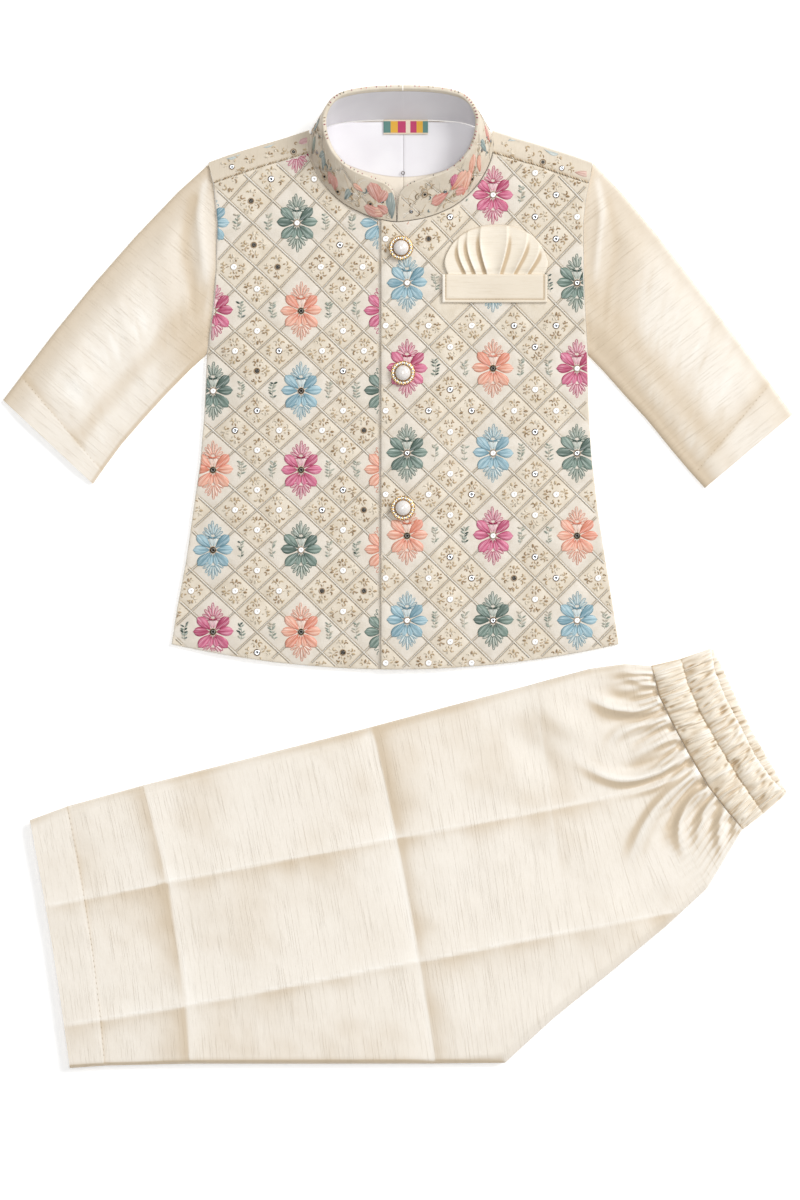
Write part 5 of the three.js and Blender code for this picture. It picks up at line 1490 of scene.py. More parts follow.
def collar_piece(side, name):
    at = np.linspace(0, collar_end, 170)
    foot, out, up, height = collar_frame(side, at)
    run = np.interp(at, fine_stations, collar_run[side])
    full = collar["wall"] + collar["gap"] + lining_wall
    chart = collar_chart[side]
    face = np.linspace(0, 1, 17)
    roll = np.radians(np.linspace(0, 180, 9))[1:-1]
    rows, weave_rows = [], []
    for s in face:
        h = s * (height - 0.6)
        bulge = 0.22 * soft_noise(run, h, 16, 60 + side) + quilt(chart, run, h) * 0.6 * (0 < s < 1)
        rows.append(foot + out * bulge[:, None] + up * h[:, None])
        weave_rows.append(flat3(run, h))
    for a in roll:
        across = -full / 2 + full / 2 * math.cos(a)
        h = height - 0.6 + (0.6 + collar["roll_rise"]) * math.sin(a)
        rows.append(foot + out * across + up * h[:, None])
        weave_rows.append(flat3(run, h))
    for across, drop in ((-full, 0.6), (-full, collar["roll_depth"]), (-collar["wall"], collar["roll_depth"])):
        h = height - drop
        rows.append(foot + out * across + up * h[:, None])
        weave_rows.append(flat3(run, h))
    for s in (0.6, 0.3, 0.0):
        h = s * height
        rows.append(foot - out * collar["wall"] + up * h[:, None])
        weave_rows.append(flat3(run, h))
    points, weave = np.stack(rows), np.stack(weave_rows)
    count, columns = points.shape[:2]
    total = count * columns
    faces = []
    for i in range(count):
        k = (i + 1) % count
        for j in range(columns - 1):
            faces.append([i * columns + j, i * columns + j + 1, k * columns + j + 1, k * columns + j])
    faces.append([i * columns for i in range(count)])
    faces.append([i * columns + columns - 1 for i in range(count)][::-1])
    fields = cell_fields(chart, weave.reshape(total, 3)[:, 0], weave.reshape(total, 3)[:, 1])
    outside = np.repeat(np.arange(count) < len(face), columns)
    fields["from_cord"] = np.where(outside, fields["from_cord"], 5.0)
    # Outside the collar is greyed, as its cloth is duller, and the left half more, which is painted shade; the roll
    # and inside are lightened a little.
    fields["greyed_and_shaded"] = np.where(outside, 0.55 if side < 0 else 0.3, -0.3)
    order = np.random.RandomState(90 + side)
    rim = len(face) + len(roll) // 2
    for k in range(6, columns - 4, 3):
        if order.uniform() < 0.4:
            continue
        colour = (tone(150, 34, 66), tone(170, 142, 104), tone(224, 150, 140), tone(92, 84, 70))
        path = points[rim - 2:rim + 2, k] + [0, 0, 0.12]
        work["marks"].tube(path, np.broadcast_to([0, 0, 1.0], path.shape), np.array([0.15, 0.4, 0.4, 0.15]),
                           colour[int(order.uniform() ** 1.6 * 4)], sides=4)
    return build(name, points.reshape(-1, 3), faces, panel_cloth, 60, weave=weave.reshape(-1, 3), **fields)


no_flowers = tuple((4 * a, 4 * b) for a in range(-2, 5) for b in (-1, 0, 1))
collar_chart = {
    -1: {"columns": table("n at", (0, 30), (4, 92.6)), "rows": table("n at", (0, 13), (4, -46)), "bare": no_flowers},
    1: {"columns": table("n at", (0, 14), (4, 66)), "rows": table("n at", (0, 10), (4, -49)), "bare": no_flowers},
}
# Loose petals of the collar: run from the front, height, angle, length, width and colour
collar_petals = {
    -1: (
        (5.2, 1.5, 84, 20, 8.0, "dull_blue"), (6.4, 4, 97, 17, 5.0, "dull_blue"),
        (16, 12, 62, 15, 8.5, "coral"), (17, 12, 118, 11, 6.5, "coral"), (18, 10, 208, 9, 5.5, "coral"),
        (13, 2.5, 12, 15, 7.0, "coral"), (24, 2.2, 158, 11, 5.5, "peach"), (29, 17, 20, 8, 3.6, "peach"),
        (52, 4, 72, 12, 7.0, "coral"), (58, 5, 100, 10, 6.0, "coral"), (44, 3, 112, 12, 3.6, "dull_blue"),
        (66, 9, 80, 11, 4.2, "dull_blue"), (73, 13, 118, 10, 4.0, "dull_blue"), (80, 5, 60, 12, 4.0, "green"),
        (92, 12, 84, 12, 3.6, "dull_blue"), (104, 8, 96, 12, 4.6, "blue"), (124, 8, 80, 12, 5.0, "peach"),
    ),
    1: (
        (44, 14, 24, 15, 8.4, "peach"), (42, 13, 196, 13, 7.0, "coral"), (45, 16, 74, 9, 5.5, "pink"),
        (54, 3, 62, 17, 7.6, "peach"), (62, 12, 66, 15, 6.8, "peach"), (59, 5, 152, 12, 5.5, "coral"),
        (72, 6, 82, 13, 4.6, "peach"), (84, 10, 96, 13, 4.6, "dull_blue"), (92, 8, 70, 12, 5.2, "coral"),
        (106, 8, 84, 12, 4.6, "blue"), (126, 8, 96, 12, 5.0, "peach"),
    ),
}
collar_pieces = {-1: collar_piece(-1, "collar_left_half"), 1: collar_piece(1, "collar_right_half")}
for side in (-1, 1):
    surface = CollarSurface(side, collar_chart[side])
    order = np.random.RandomState(70 + side)
    end = collar_run[side][-1]
    couched_cords(surface, work["cords"], ((0, 0), (end, 36)), 0.62)
    for x, y, angle, length, width, colour in collar_petals[side]:
        # The collar's petals are greyed a little, as their threads are duller, and those of the left half more, as
        # painted shade.
        dusky = 0.22 if side < 0 else 0.08
        tints = tuple(mix(np.array(t), np.array(tone(190, 176, 156)), dusky) for t in threads[colour])
        petal(surface, work["floss"], x, y, math.radians(angle), 0.4, 1.08 * length, 1.4 * width, 0.55, tints)
    for n in range(56):
        x, y, way = order.uniform(5, end - 4), order.uniform(2, 22), order.uniform(0.2, 2.9)
        far, bow = np.linspace(0, order.uniform(6, 13), 8), order.uniform(-0.09, 0.09)
        turn = way + bow * far
        pale = (cord_tints[0], cord_tints[1], butti_tints[3], butti_tints[0])[int(order.uniform() * 4)]
        thread_line(surface, work["marks"], x + far * np.cos(turn), y + far * np.sin(turn), 0.17, pale)
    for n in range(96):
        x, y = order.uniform(8, end - 4), order.uniform(3, 24)
        turn = np.linspace(0, 2.2 + order.uniform(0, 2), 5)
        size, start = order.uniform(0.9, 2.4), order.uniform(0, 6)
        mark = (*butti_tints, threads["dull_blue"][1], tone(150, 126, 92))[int(order.uniform() * 6)]
        thread_line(surface, work["marks"], x + size * np.cos(turn + start), y + size * np.sin(turn + start),
                    (0.16, 0.36, 0.42, 0.34, 0.14), mark)
    for x in (14, 25, 38, 49, 63, 78, 96, 112):
        sequin(surface, work, ("grey", "dark")[int(x) % 2], x + order.uniform(-2, 2), order.uniform(5, 21), 0.62)


def collar_lining_piece():
    at = np.linspace(0, collar_end, 120)
    near = -(collar["wall"] + collar["gap"])
    far = near - lining_wall
    rings, weave = [], []
    for side, order in ((-1, slice(None, -1)), (1, slice(-2, None, -1))):
        stations = at[order]
        foot, out, up, height = collar_frame(side, stations)
        run = side * np.interp(stations, fine_stations, collar_run[side])
        h = height - collar["roll_depth"] - collar["gap"]
        wave = 0.35 * soft_noise(run, 0 * run, 21, 80)
        shares = np.linspace(0, 1, 9)
        section = []
        for s in shares:
            section.append(foot + out * near + up * (s * h)[:, None])
        for s in shares[::-1]:
            push = wave * math.sin(math.pi * s)
            section.append(foot + out * (far + push)[:, None] + up * (s * h)[:, None])
        rings.append(np.stack(section, 1))
        weave.append(np.stack([flat3(run, s * h) for s in (*shares, *shares[::-1])], 1))
    points, flat = np.concatenate(rings), np.concatenate(weave)
    rows, columns = points.shape[:2]
    faces = grid_faces(rows, columns, closed=True)
    faces += [list(range(columns))[::-1], [(rows - 1) * columns + k for k in range(columns)]]
    return build(
        "collar_lining_band", points.reshape(-1, 3), faces, lining_cloth,
        weave=flat.reshape(-1, 3), facing=np.full(rows * columns, -9.0),
    )


collar_lining = collar_lining_piece()


def neck_lining_piece(side, name):
    at = np.linspace(0, collar_end, 120)[:-1]
    foot = collar_frame(side, at)[0][:, :2]
    away = foot - neck_middle
    reach = np.hypot(*away.T)
    loop = neck_middle + away * ((reach - 4.5) / reach)[:, None]
    seam_x = lining_seam_x + side * 0.06
    kept = loop[side * (loop[:, 0] - lining_seam_x) > 2]
    kept = kept[np.argsort(kept[:, 1])]
    seam = [(seam_x, kept[-1, 1]), (seam_x, kept[0, 1])]
    outline = loop_of(resample(kept, 2.2), resample(seam, 2.2))
    gx, gy = np.meshgrid(np.arange(-64, 70, 2.6), np.arange(258, 332, 2.6))
    low = body_wall + seam_gap

    def top(x, y):
        ripple = 0.22 * soft_noise(x, y * 0.4, 19, 90 + side)
        return low + lining_wall - 0.25 + ripple * smooth(np.abs(x - seam_x) / 8)

    def fields(x, y):
        return {"facing": 288.4 + 4.2 * ((x - lining_seam_x) / 28) ** 2 - y}

    return plan_shell(
        name, outline, np.stack([gx.ravel(), gy.ravel()], 1),
        top, lambda x, y: np.full_like(x, low), lining_cloth, reach=0.3, fields=fields,
    )


neck_linings = [
    neck_lining_piece(-1, "neck_lining_left_half"), neck_lining_piece(1, "neck_lining_right_half"),
]


def label_piece():
    low = body_wall + 2 * seam_gap + lining_wall
    x = np.linspace(-0.5, 0.5, 25) * label["width"]
    y = np.linspace(-0.5, 0.5, 11) * label["height"]
    gx, gy = np.meshgrid(x, y)
    edge = np.minimum(label["width"] / 2 - np.abs(gx), label["height"] / 2 - np.abs(gy))
    lift = 0.25 * np.sin(gx / 5.2) * (1 - np.abs(gy) / label["height"])
    high = low + 0.55 + 0.25 * smooth(edge / 0.8) + 0.12 * lift
    top = flat3(label["x"] + gx, label["y"] + gy, high)
    bottom = flat3(label["x"] + gx, label["y"] + gy, low + 0.02)
    return grid_shell("label_tape_piece", top, bottom, flat3(gx, gy), label_tape)


label_piece_made = label_piece()


# Sleeves

# Length of a sleeve, and the share of it where the hem is stitched
sleeve_length = 215
sleeve_hem = 0.921


def sleeve_glow(side, t, s, x, y):
    """Painted sheen of the sleeve: a broken painted highlight along its middle, painted shade by its edges and at the
    underarm.
    """
    left = side == "left"
    streak = 1 + 0.55 * soft_noise(t * sleeve_length, s * 22, 5, 170) + 0.3 * soft_noise(t * sleeve_length, s * 30, 2.2, 171)
    drift = 0.04 * soft_noise(t * sleeve_length, 0 * s, 50, 172)
    centre = (0.45 if left else 0.32) + drift
    reach = smooth((t - 0.26) / 0.2) * (1 - 0.75 * smooth((t - 0.86) / 0.05))
    glow = 0.95 * bell(s - centre, 0.16 if left else 0.24) * reach * streak
    glow = glow + (0.55 if left else 0.3) * bell(s - 0.84, 0.08) * smooth((t - 0.34) / 0.2) * streak
    glow = glow + 0.5 * smooth((t - 0.92) / 0.02) * bell(s - 0.55, 0.3)
    glow = glow - (0.34 if left else 0.05) * bell(s, 0.13)
    glow = glow - 0.45 * bell(s - 0.985, 0.03) - 0.25 * bell(s - 0.68, 0.08) * streak
    if left:
        glow = glow + 0.4 * bell(s - 0.955, 0.008) * smooth((t - 0.05) / 0.1)
    else:
        glow = glow - 0.7 * bell(1 - s, 0.11) * smooth((t - 0.1) / 0.15)
    glow = glow - 0.3 * bell(t - 0.918, 0.004)
    underarm = (-139, 166) if left else (139, 164)
    corner = np.hypot(x - underarm[0], y - underarm[1])
    glow = glow - (0.7 if left else 1.1) * bell(corner, 22 if left else 14)
    for path, lift, near, far in sleeve_folds[side][:2]:
        away, run, _, _ = nearest_on(x, y, curved(path))
        sheen = 0.5 * np.clip(lift / 0.8, -1, 1)
        glow = glow + sheen * bell(away, 0.7 * near) * smooth((1 - run) / 0.3)
    by_armhole = np.abs(x - side_x(side, y))
    gain, less, seam_shade = (1.0, 0.38, 0.35) if left else (0.8, 0.62, 0.15)
    return glow * gain - less - seam_shade * bell(by_armhole, 2.2)


def sleeve_piece(side):
    rows = sleeve_rows[side]
    shares = np.concatenate([[0, 0.006, 0.018], np.linspace(0.04, 0.96, 44), [0.982, 0.994, 1]])
    back = np.linspace(0.985, 0.015, 14)

    def place(t, s):
        x = mix(along(rows, "t", t, "out_x"), along(rows, "t", t, "in_x"), s)
        y = mix(along(rows, "t", t, "out_y"), along(rows, "t", t, "in_y"), s)
        return x, y

    def armhole(s):
        low, high = np.full_like(s, -0.12), np.full_like(s, 0.2)
        sign = -1 if side == "left" else 1
        for _ in range(40):
            t = (low + high) / 2
            x, y = place(t, s)
            short = sign * (x - side_x(side, y)) < seam_gap
            low, high = np.where(short, t, low), np.where(short, high, t)
        return (low + high) / 2

    def stations(s):
        start = armhole(s)
        by_hem = [0.919, 0.924, 0.929, 0.936]
        steps = np.concatenate([np.linspace(0, 0.90, 58), by_hem, np.linspace(0.95, 0.994, 5), [1.0]])
        return start[None] + (1 - start[None]) * steps[:, None]

    def top_z(t, s, x, y):
        rise = smooth(s / 0.24) * smooth((1 - s) / 0.24)
        hemmed = 0.18 * smooth((t - sleeve_hem) / 0.006)
        soft = 0.0
        for path, lift, near, far in sleeve_folds[side]:
            soft = soft + soft_ridge(x, y, path, lift, near, far, 0.4, 0.3)
        ripple = 0.16 * soft_noise(t * 260, s * 40, 11, 100) + 0.25 * soft_noise(x, y, 38, 101)
        pressed = 0.22 * bell(s - 0.955, 0.012)
        dimple = -0.14 * bell(t - sleeve_hem, 0.004)
        return mix(3.0, 5.0, rise) + hemmed + (soft + ripple + dimple) * rise ** 0.6 + pressed

    t, bt = stations(shares), stations(back)
    s = np.broadcast_to(shares, t.shape)
    bs = np.broadcast_to(back, bt.shape)
    x, y = place(t, s)
    z = top_z(t, s, x, y)
    z[:, 0], z[:, -1] = 1.5, 1.5
    for k, share in ((1, 0.55), (-2, 0.55), (2, 0.85), (-3, 0.85)):
        z[:, k] = mix(1.5, z[:, k], share)
    bx, by = place(bt, bs)
    outer = np.concatenate([flat3(x, y, z), flat3(bx, by, 0.0)], 1)
    width = np.hypot(*(np.subtract(place(t[:, -1], s[:, -1]), place(t[:, 0], s[:, 0]))))
    turn = ((sleeve_wall + 0.3) / width)[:, None]
    ix, iy = place(t, mix(turn, 1 - turn, s))
    iz = np.maximum(z - sleeve_wall, sleeve_wall + 0.2)
    iz[:, 0], iz[:, -1] = 1.5, 1.5
    jx, jy = place(bt, mix(turn, 1 - turn, bs))
    inner = np.concatenate([flat3(ix, iy, iz), flat3(jx, jy, sleeve_wall)], 1)
    rows_count, columns = outer.shape[:2]
    total = rows_count * columns
    faces = grid_faces(rows_count, columns, closed=True) + grid_faces(rows_count, columns, total, closed=True)
    for row in (0, rows_count - 1):
        for k in range(columns):
            n = (k + 1) % columns
            a, b = row * columns + k, row * columns + n
            faces.append([a, b, b + total, a + total])
    grain_x, grain_y = sleeve_grain[side]
    plan_x, plan_y = np.concatenate([x, bx], 1), np.concatenate([y, by], 1)
    weave = flat3(plan_x * grain_x + plan_y * grain_y, plan_y * grain_x - plan_x * grain_y).reshape(-1, 3)
    points = np.concatenate([outer.reshape(-1, 3), inner.reshape(-1, 3)])
    shine = sleeve_glow(side, t, s, x, y) + 0.4 * lit_side(flat3(x, y, z), 1.6)
    glow = np.concatenate([shine, 0 * bt], 1).ravel()
    glow = np.concatenate([glow, glow])
    weave = np.concatenate([weave, weave])
    return build(f"sleeve_{side}_cloth", points, faces, cream_silk, weave=weave, glow=glow), place, top_z


# Way that the thick threads run across each sleeve
sleeve_grain = {"left": (0.766, -0.643), "right": (0.788, 0.616)}
# Soft folds of each sleeve: line, rise, width at its start and at its end
sleeve_folds = {
    "left": (
        (((-139, 284), (-143, 262), (-140, 232), (-137, 205)), 1.0, 3.2, 4.5),
        (((-147, 272), (-153, 240), (-147, 205), (-143, 178)), -0.8, 6, 8),
        (((-160, 262), (-170, 222), (-160, 180)), 0.5, 9, 14),
        (((-262, 146), (-240, 126), (-222, 104)), 0.35, 3.5, 5),
        (((-240, 160), (-222, 135), (-205, 118)), 0.45, 9, 13),
        (((-205, 222), (-196, 186), (-186, 150)), 0.5, 14, 18),
    ),
    "right": (
        (((144, 285), (147, 262), (144, 232), (141, 204)), 0.9, 3.2, 4.5),
        (((152, 272), (157, 240), (151, 205), (146, 178)), -0.4, 4.5, 6),
        (((163, 262), (172, 222), (163, 180)), 0.5, 9, 14),
        (((262, 143), (240, 124), (224, 100)), 0.4, 3.5, 5),
        (((236, 160), (220, 135), (205, 118)), 0.45, 9, 13),
        (((203, 222), (195, 186), (186, 150)), 0.5, 14, 18),
    ),
}
sleeves = {side: sleeve_piece(side) for side in ("left", "right")}


# Pocket

def welt_height(x, y):
    v = (y - welt["bottom"]) / (welt["top"] - welt["bottom"])
    return over_top(x, y) + welt["lift"] + welt["mouth"] * smooth(v)


def welt_piece():
    inset = np.array([0, 0.12, 0.4, 0.9, 1.6])
    width, height = welt["right"] - welt["left"], welt["top"] - welt["bottom"]
    xs = np.concatenate([inset, np.linspace(2.4, width - 2.4, 60), width - inset[::-1]]) + welt["left"]
    ys = np.concatenate([inset, np.linspace(2.4, height - 2.4, 22), height - inset[::-1]]) + welt["bottom"]
    gx, gy = np.meshgrid(xs, ys)
    from_side, from_foot = np.minimum(gx - welt["left"], welt["right"] - gx), gy - welt["bottom"]
    edge = np.minimum(from_side, np.minimum(from_foot, welt["top"] - gy))
    roll = 1 - np.sqrt(np.clip(1 - (1 - np.clip(edge / 0.9, 0, 1)) ** 2, 0, 1))
    stitched = np.minimum(from_side, from_foot)
    pull = 0.32 * bell(stitched - 2.5, 0.55)
    base = welt_height(gx, gy)
    swell = 0.18 * soft_noise(gx, gy, 15, 120)
    high = base + welt["wall"] - 0.75 * roll - pull + swell
    # Painted light: a painted highlight on the folded left edge, painted shade along the stitching, the rest a little
    # darker and following its swell.
    glow = -0.25 + 0.8 * (gx - welt["left"] < 2.1) - 0.7 * bell(stitched - 2.5, 0.5) + 0.2 * swell
    bottom = flat3(gx, gy, base + 0.25 * roll)
    return grid_shell("welt", flat3(gx, gy, high), bottom, flat3(gx, gy), pocket_silk, glow=glow)


def fan_rise(x, v):
    """Height of the pleats: steep on one side of each crease and easing off on the other."""
    rise = np.full_like(x, 0.5)
    for root, tip, lift in zip(*(pleats[name] for name in ("root_x", "tip_x", "rise"))):
        bow = 1.6 * np.sin(math.pi * v) * (1 if root < fan["middle_x"] else -1)
        away = (x - mix(root, tip, v) + bow) * (1 if root < fan["middle_x"] else -1)
        slope = np.where(away > 0, np.exp(-np.maximum(away, 0) / 3.6), np.exp(np.minimum(away, 0) / 0.75))
        rise = rise + lift * slope * (1 - 0.45 * v)
    return rise


def square_piece():
    share_x = np.linspace(0, 1, 130)
    root_x = mix(fan["left"], fan["right"], share_x)
    v = np.concatenate([[0], np.linspace(0, 1, 52)])
    gx, gv = np.meshgrid(root_x, v)
    share = (gx - fan["middle_x"]) / ((fan["right"] - fan["left"]) / 2)
    rim = welt["top"] + (fan["apex_y"] - welt["top"]) * np.sqrt(np.clip(1 - 0.93 * share * share, 0, 1))
    gy = mix(welt["top"] + 0.5, rim, gv)
    gy[0] = fan["root_y"]
    lean = share * 9.5 * np.sin(math.pi * np.minimum(1, gv * 0.62)) * (1 - 0.75 * np.abs(share))
    x = gx + lean
    bottom = over_top(x, gy) + 0.9
    plain = smooth(gv / 0.14)
    rise = fan_rise(gx, gv)
    full = fan["wall"] + rise * mix(0.55, 1, plain) * (1 - 0.55 * gv * gv)
    full = full + 0.16 * soft_noise(x, gy, 8, 130) * (gv > 0.05)
    edge = np.minimum((1 - gv) * 30, np.minimum(share_x * 70, (1 - share_x) * 70)[None])
    rolled = 1 - np.sqrt(np.clip(1 - (1 - np.clip(edge / 1.2, 0, 1)) ** 2, 0, 1))
    full = full - 0.6 * rolled
    full[0] = 1.0
    top = flat3(x, gy, bottom + full)
    # Painted light of the pleats: painted shade in each fold and a painted highlight just beside it, fading towards
    # the rim, where there is painted shade too.
    shade = np.zeros_like(gx)
    for root, tip in zip(pleats["root_x"], pleats["tip_x"]):
        hand = 1 if root < fan["middle_x"] else -1
        away = (gx - mix(root, tip, gv)) * hand + 1.6 * np.sin(math.pi * gv)
        fades = 1 - smooth((gv - 0.4) / 0.6)
        shade = shade - 1.7 * bell(away + 1.5, 1.35) * fades
        shade = shade + 0.7 * bell(away - 0.4, 0.7) * fades
    glow = np.clip(shade + lit_side(top, 0.6) - 0.5 * bell(1 - gv, 0.05), -1, 1)
    return grid_shell("square", top, flat3(x, gy, bottom), flat3(gx, gy), pocket_silk, 70, glow=glow)


welt_made, square_made = welt_piece(), square_piece()


# Sewing that shows

def stitch_row(into, path, height, length=2.3, gap=0.9, radius=0.2, tint=tone(226, 210, 182)):
    """Short straight stitches along a line."""
    line = resample(path, 0.4)
    run = 0.4
    step = int(round((length + gap) / run))
    part = int(round(length / run))
    for n in range(0, len(line) - part, step):
        xs, ys = line[n:n + part + 1:max(1, part // 2)].T
        sink = np.array([-0.25, 0.12, *[0.12] * (len(xs) - 3), -0.25])[:len(xs)]
        up = np.broadcast_to([0.0, 0.0, 1.0], (len(xs), 3))
        into.tube(flat3(xs, ys, height(xs, ys) + sink), up, radius, tint, sides=4)


sewn = Stitched()
edge_in = 2.5
stitch_row(sewn, [
    (welt["left"] + edge_in, welt["top"] - 0.6), (welt["left"] + edge_in, welt["bottom"] + edge_in),
    (welt["right"] - edge_in, welt["bottom"] + edge_in), (welt["right"] - edge_in, welt["top"] - 0.6),
], lambda x, y: welt_height(x, y) + welt["wall"] - 0.22, length=1.8, gap=0.7, radius=0.17)
for side in ("left", "right"):
    _, place, top_z = sleeves[side]
    s = np.linspace(0.05, 0.95, 60)
    t = np.full_like(s, sleeve_hem)
    x, y = place(t, s)

    def sleeve_height(px, py, side=side, place=place, top_z=top_z, s=s, x=x, y=y, t=t):
        return np.interp(px, *(v[np.argsort(x)] for v in (x, top_z(t, s, x, y))))

    stitch_row(sewn, np.stack([x, y], 1), sleeve_height, length=1.9, gap=1.6, radius=0.2, tint=tone(206, 184, 148))


# Buttons

def button_pieces(number, x, y):
    z = float(over_top(np.array(x), np.array(y))) + button_lift
    place, up = np.array([x, y, z]), np.array([0.0, 0.0, 1.0])
    rim = Stitched()
    profile = [
        (6.2, 0.05), (8.0, 0.0), (8.7, 0.5), (8.75, 1.2), (8.3, 1.9), (7.6, 2.05), (6.6, 1.95), (6.0, 1.7), (5.4, 1.2),
    ]
    turned(rim, profile, 64, place, up)
    stones = Stitched()
    count = 18
    for k in range(count):
        angle = 2 * math.pi * k / count + 0.1 * number
        at = place + np.array([7.15 * math.cos(angle), 7.15 * math.sin(angle), 1.75])
        turned(stones, [(0.9, 0.0), (1.02, 0.4), (0.74, 0.95), (0.42, 1.1)], 8, at, up)
        between = angle + math.pi / count
        for radius, size in ((8.05, 0.46), (6.25, 0.42)):
            at = place + np.array([radius * math.cos(between), radius * math.sin(between), 1.75])
            ball = [(size * math.sin(a), size * (1 - math.cos(a))) for a in np.radians((20, 60, 95, 130, 160))]
            turned(rim, ball, 8, at, up)
        claw = place + np.array([8.35 * math.cos(angle), 8.35 * math.sin(angle), 1.6])
        turned(rim, [(0.3, 0), (0.34, 0.5), (0.18, 1.0)], 6, claw, up)
    cap = [(5.2, 1.5), (5.45, 2.2), (5.5, 2.6)]
    cap += [(5.5 * math.cos(a), 2.6 + 3.8 * math.sin(a)) for a in np.radians(np.linspace(8, 88, 14))]
    ball = Stitched()
    turned(ball, cap, 56, place, up)
    return (
        rim.piece(f"button_{number}_rim", gilt),
        stones.piece(f"button_{number}_stones", crystal),
        ball.piece(f"button_{number}_pearl", pearl),
    )


button_sets = [button_pieces(n + 1, x, y) for n, (x, y) in enumerate(buttons)]


# Pajama legs

leg_length, leg_width = 520, 190


def leg_place(t, v):
    fold_x_, fold_y = along(leg_rows, "t", t, "fold_x"), along(leg_rows, "t", t, "fold_y")
    inner_x, inner_y = along(leg_rows, "t", t, "inner_x"), along(leg_rows, "t", t, "inner_y")
    bend = smooth((t - 0.8) / 0.2)
    seam_x = along(band_rows, "t", v, "seam_x") - 0.27
    seam_y = along(band_rows, "t", v, "seam_y") - 0.15
    bow = 4 * v * (1 - v) * along(leg_rows, "t", t, "bow")
    last = {name: leg_rows[name][-1] for name in ("fold_x", "fold_y", "inner_x", "inner_y")}
    x = mix(fold_x_, inner_x, v) + bow + bend * (seam_x - mix(last["fold_x"], last["inner_x"], v))
    y = mix(fold_y, inner_y, v) + bend * (seam_y - mix(last["fold_y"], last["inner_y"], v))
    return x, y


# Gathers that run out from the waist seam: line, rise, width at the seam and at the far end
leg_gathers = (
    (((182.8, -69.8), (171.7, -68.1), (160.7, -66.8), (148, -69)), 1.5, 1.8, 5),
    (((184.5, -77.5), (173.9, -75.5), (164, -71.5), (156, -70.5)), 1.2, 1.5, 4),
    (((186, -83.2), (174, -87), (158, -86), (140, -76)), -1.5, 1.7, 7),
    (((189, -88.5), (180, -93.5), (168, -95.5), (153, -93.5), (140, -86.5), (131, -79)), 2.9, 2.0, 6),
    (((192, -94.5), (182, -100), (166, -103), (148, -102), (130, -95)), -1.5, 1.7, 8),
    (((196, -101.5), (182, -104), (168, -108), (158, -113), (153, -120), (154, -127.5)), 2.3, 1.9, 5),
    (((199, -107.5), (186, -112), (172, -118), (162, -126)), -1.3, 1.6, 5),
    (((203, -115), (190, -118.5), (176, -124), (164, -131)), 2.0, 1.8, 5),
    (((206, -121), (194, -127), (180, -134), (164, -137), (148, -133)), -1.9, 1.7, 6),
    (((208.5, -127), (198, -134), (184, -141), (170, -145), (155, -144.5), (141, -138.5), (131, -131), (124, -122)),
     3.3, 2.0, 6),
    (((211, -132.5), (196, -140), (178, -148), (160, -153), (140, -155)), -1.8, 1.7, 5),
    (((213.5, -136.5), (200, -144), (186, -150), (171, -154), (150, -158)), 1.6, 1.6, 4),
    (((216.5, -140.9), (206, -147), (196, -155), (186, -166), (177, -181), (170, -199), (166, -218)), 3.2, 2.0, 7),
    (((219.5, -146.5), (209, -155), (200, -168), (193, -184), (188, -204)), -2.4, 1.8, 8),
    (((223.5, -151.8), (214, -157), (207, -165), (203, -175), (203, -187), (207, -198), (215, -206)), 2.8, 1.9, 5),
    (((227, -157), (219, -163), (213, -172), (211, -184)), -1.9, 1.6, 4),
    (((229.5, -159.5), (223, -165.5), (219, -174), (216.5, -184), (218, -196)), 2.2, 1.7, 4.5),
    (((233, -164.3), (227, -172), (224, -183), (224, -194)), -1.7, 1.5, 4),
    (((236, -168.5), (232, -177), (231.3, -186), (234, -197), (238, -205)), 2.1, 1.6, 4.5),
    (((239.5, -173.5), (238, -184), (239, -194)), -1.2, 1.4, 3.5),
    (((243, -177.5), (243, -186), (243.5, -194)), 1.5, 1.4, 3),
)
# Finer gathers that lie between two neighbours of the larger ones
small_gathers = []
for n, (one, other) in enumerate(zip(leg_gathers, leg_gathers[1:])):
    between = np.linspace(0, 0.62 - 0.1 * (n % 3), 5)
    ends = [curved(gather[0])[(between * 5 * (len(gather[0]) - 1)).astype(int)] for gather in (one, other)]
    small_gathers.append((tuple(map(tuple, (ends[0] + ends[1]) / 2)), (0.7, -0.6, 0.9)[n % 3]))
# Broad soft swells of the satin away from the waist
leg_swells = (
    (((140, -118), (112, -100), (92, -84)), 1.2, 9, 12),
    (((128, -150), (100, -128), (76, -98)), -1.0, 9, 12),
    (((172, -226), (150, -244), (128, -268)), 1.1, 10, 14),
    (((190, -214), (186, -236), (170, -256)), -0.9, 7, 10),
    (((112, -178), (92, -204), (74, -232)), -0.8, 12, 16),
    (((92, -168), (70, -196), (56, -226)), 0.7, 12, 16),
    (((40, -130), (0, -150), (-40, -165)), 0.5, 20, 24),
    (((-60, -260), (-100, -270), (-140, -262)), 0.5, 22, 26),
    (((60, -300), (30, -318), (0, -326)), 0.5, 16, 20),
    (((-190, -190), (-215, -180), (-240, -185)), 0.5, 14, 18),
    (((-180, -260), (-205, -290), (-225, -300)), 0.45, 14, 18),
)


def waist_ruche(t, v):
    """Small gathers where the leg is sewn to the waistband."""
    tight = smooth((t - 0.925) / 0.065)
    return tight * np.sin(2 * math.pi * 31 * v + 2.2 * soft_noise(v * 60, t * 20, 3, 140))


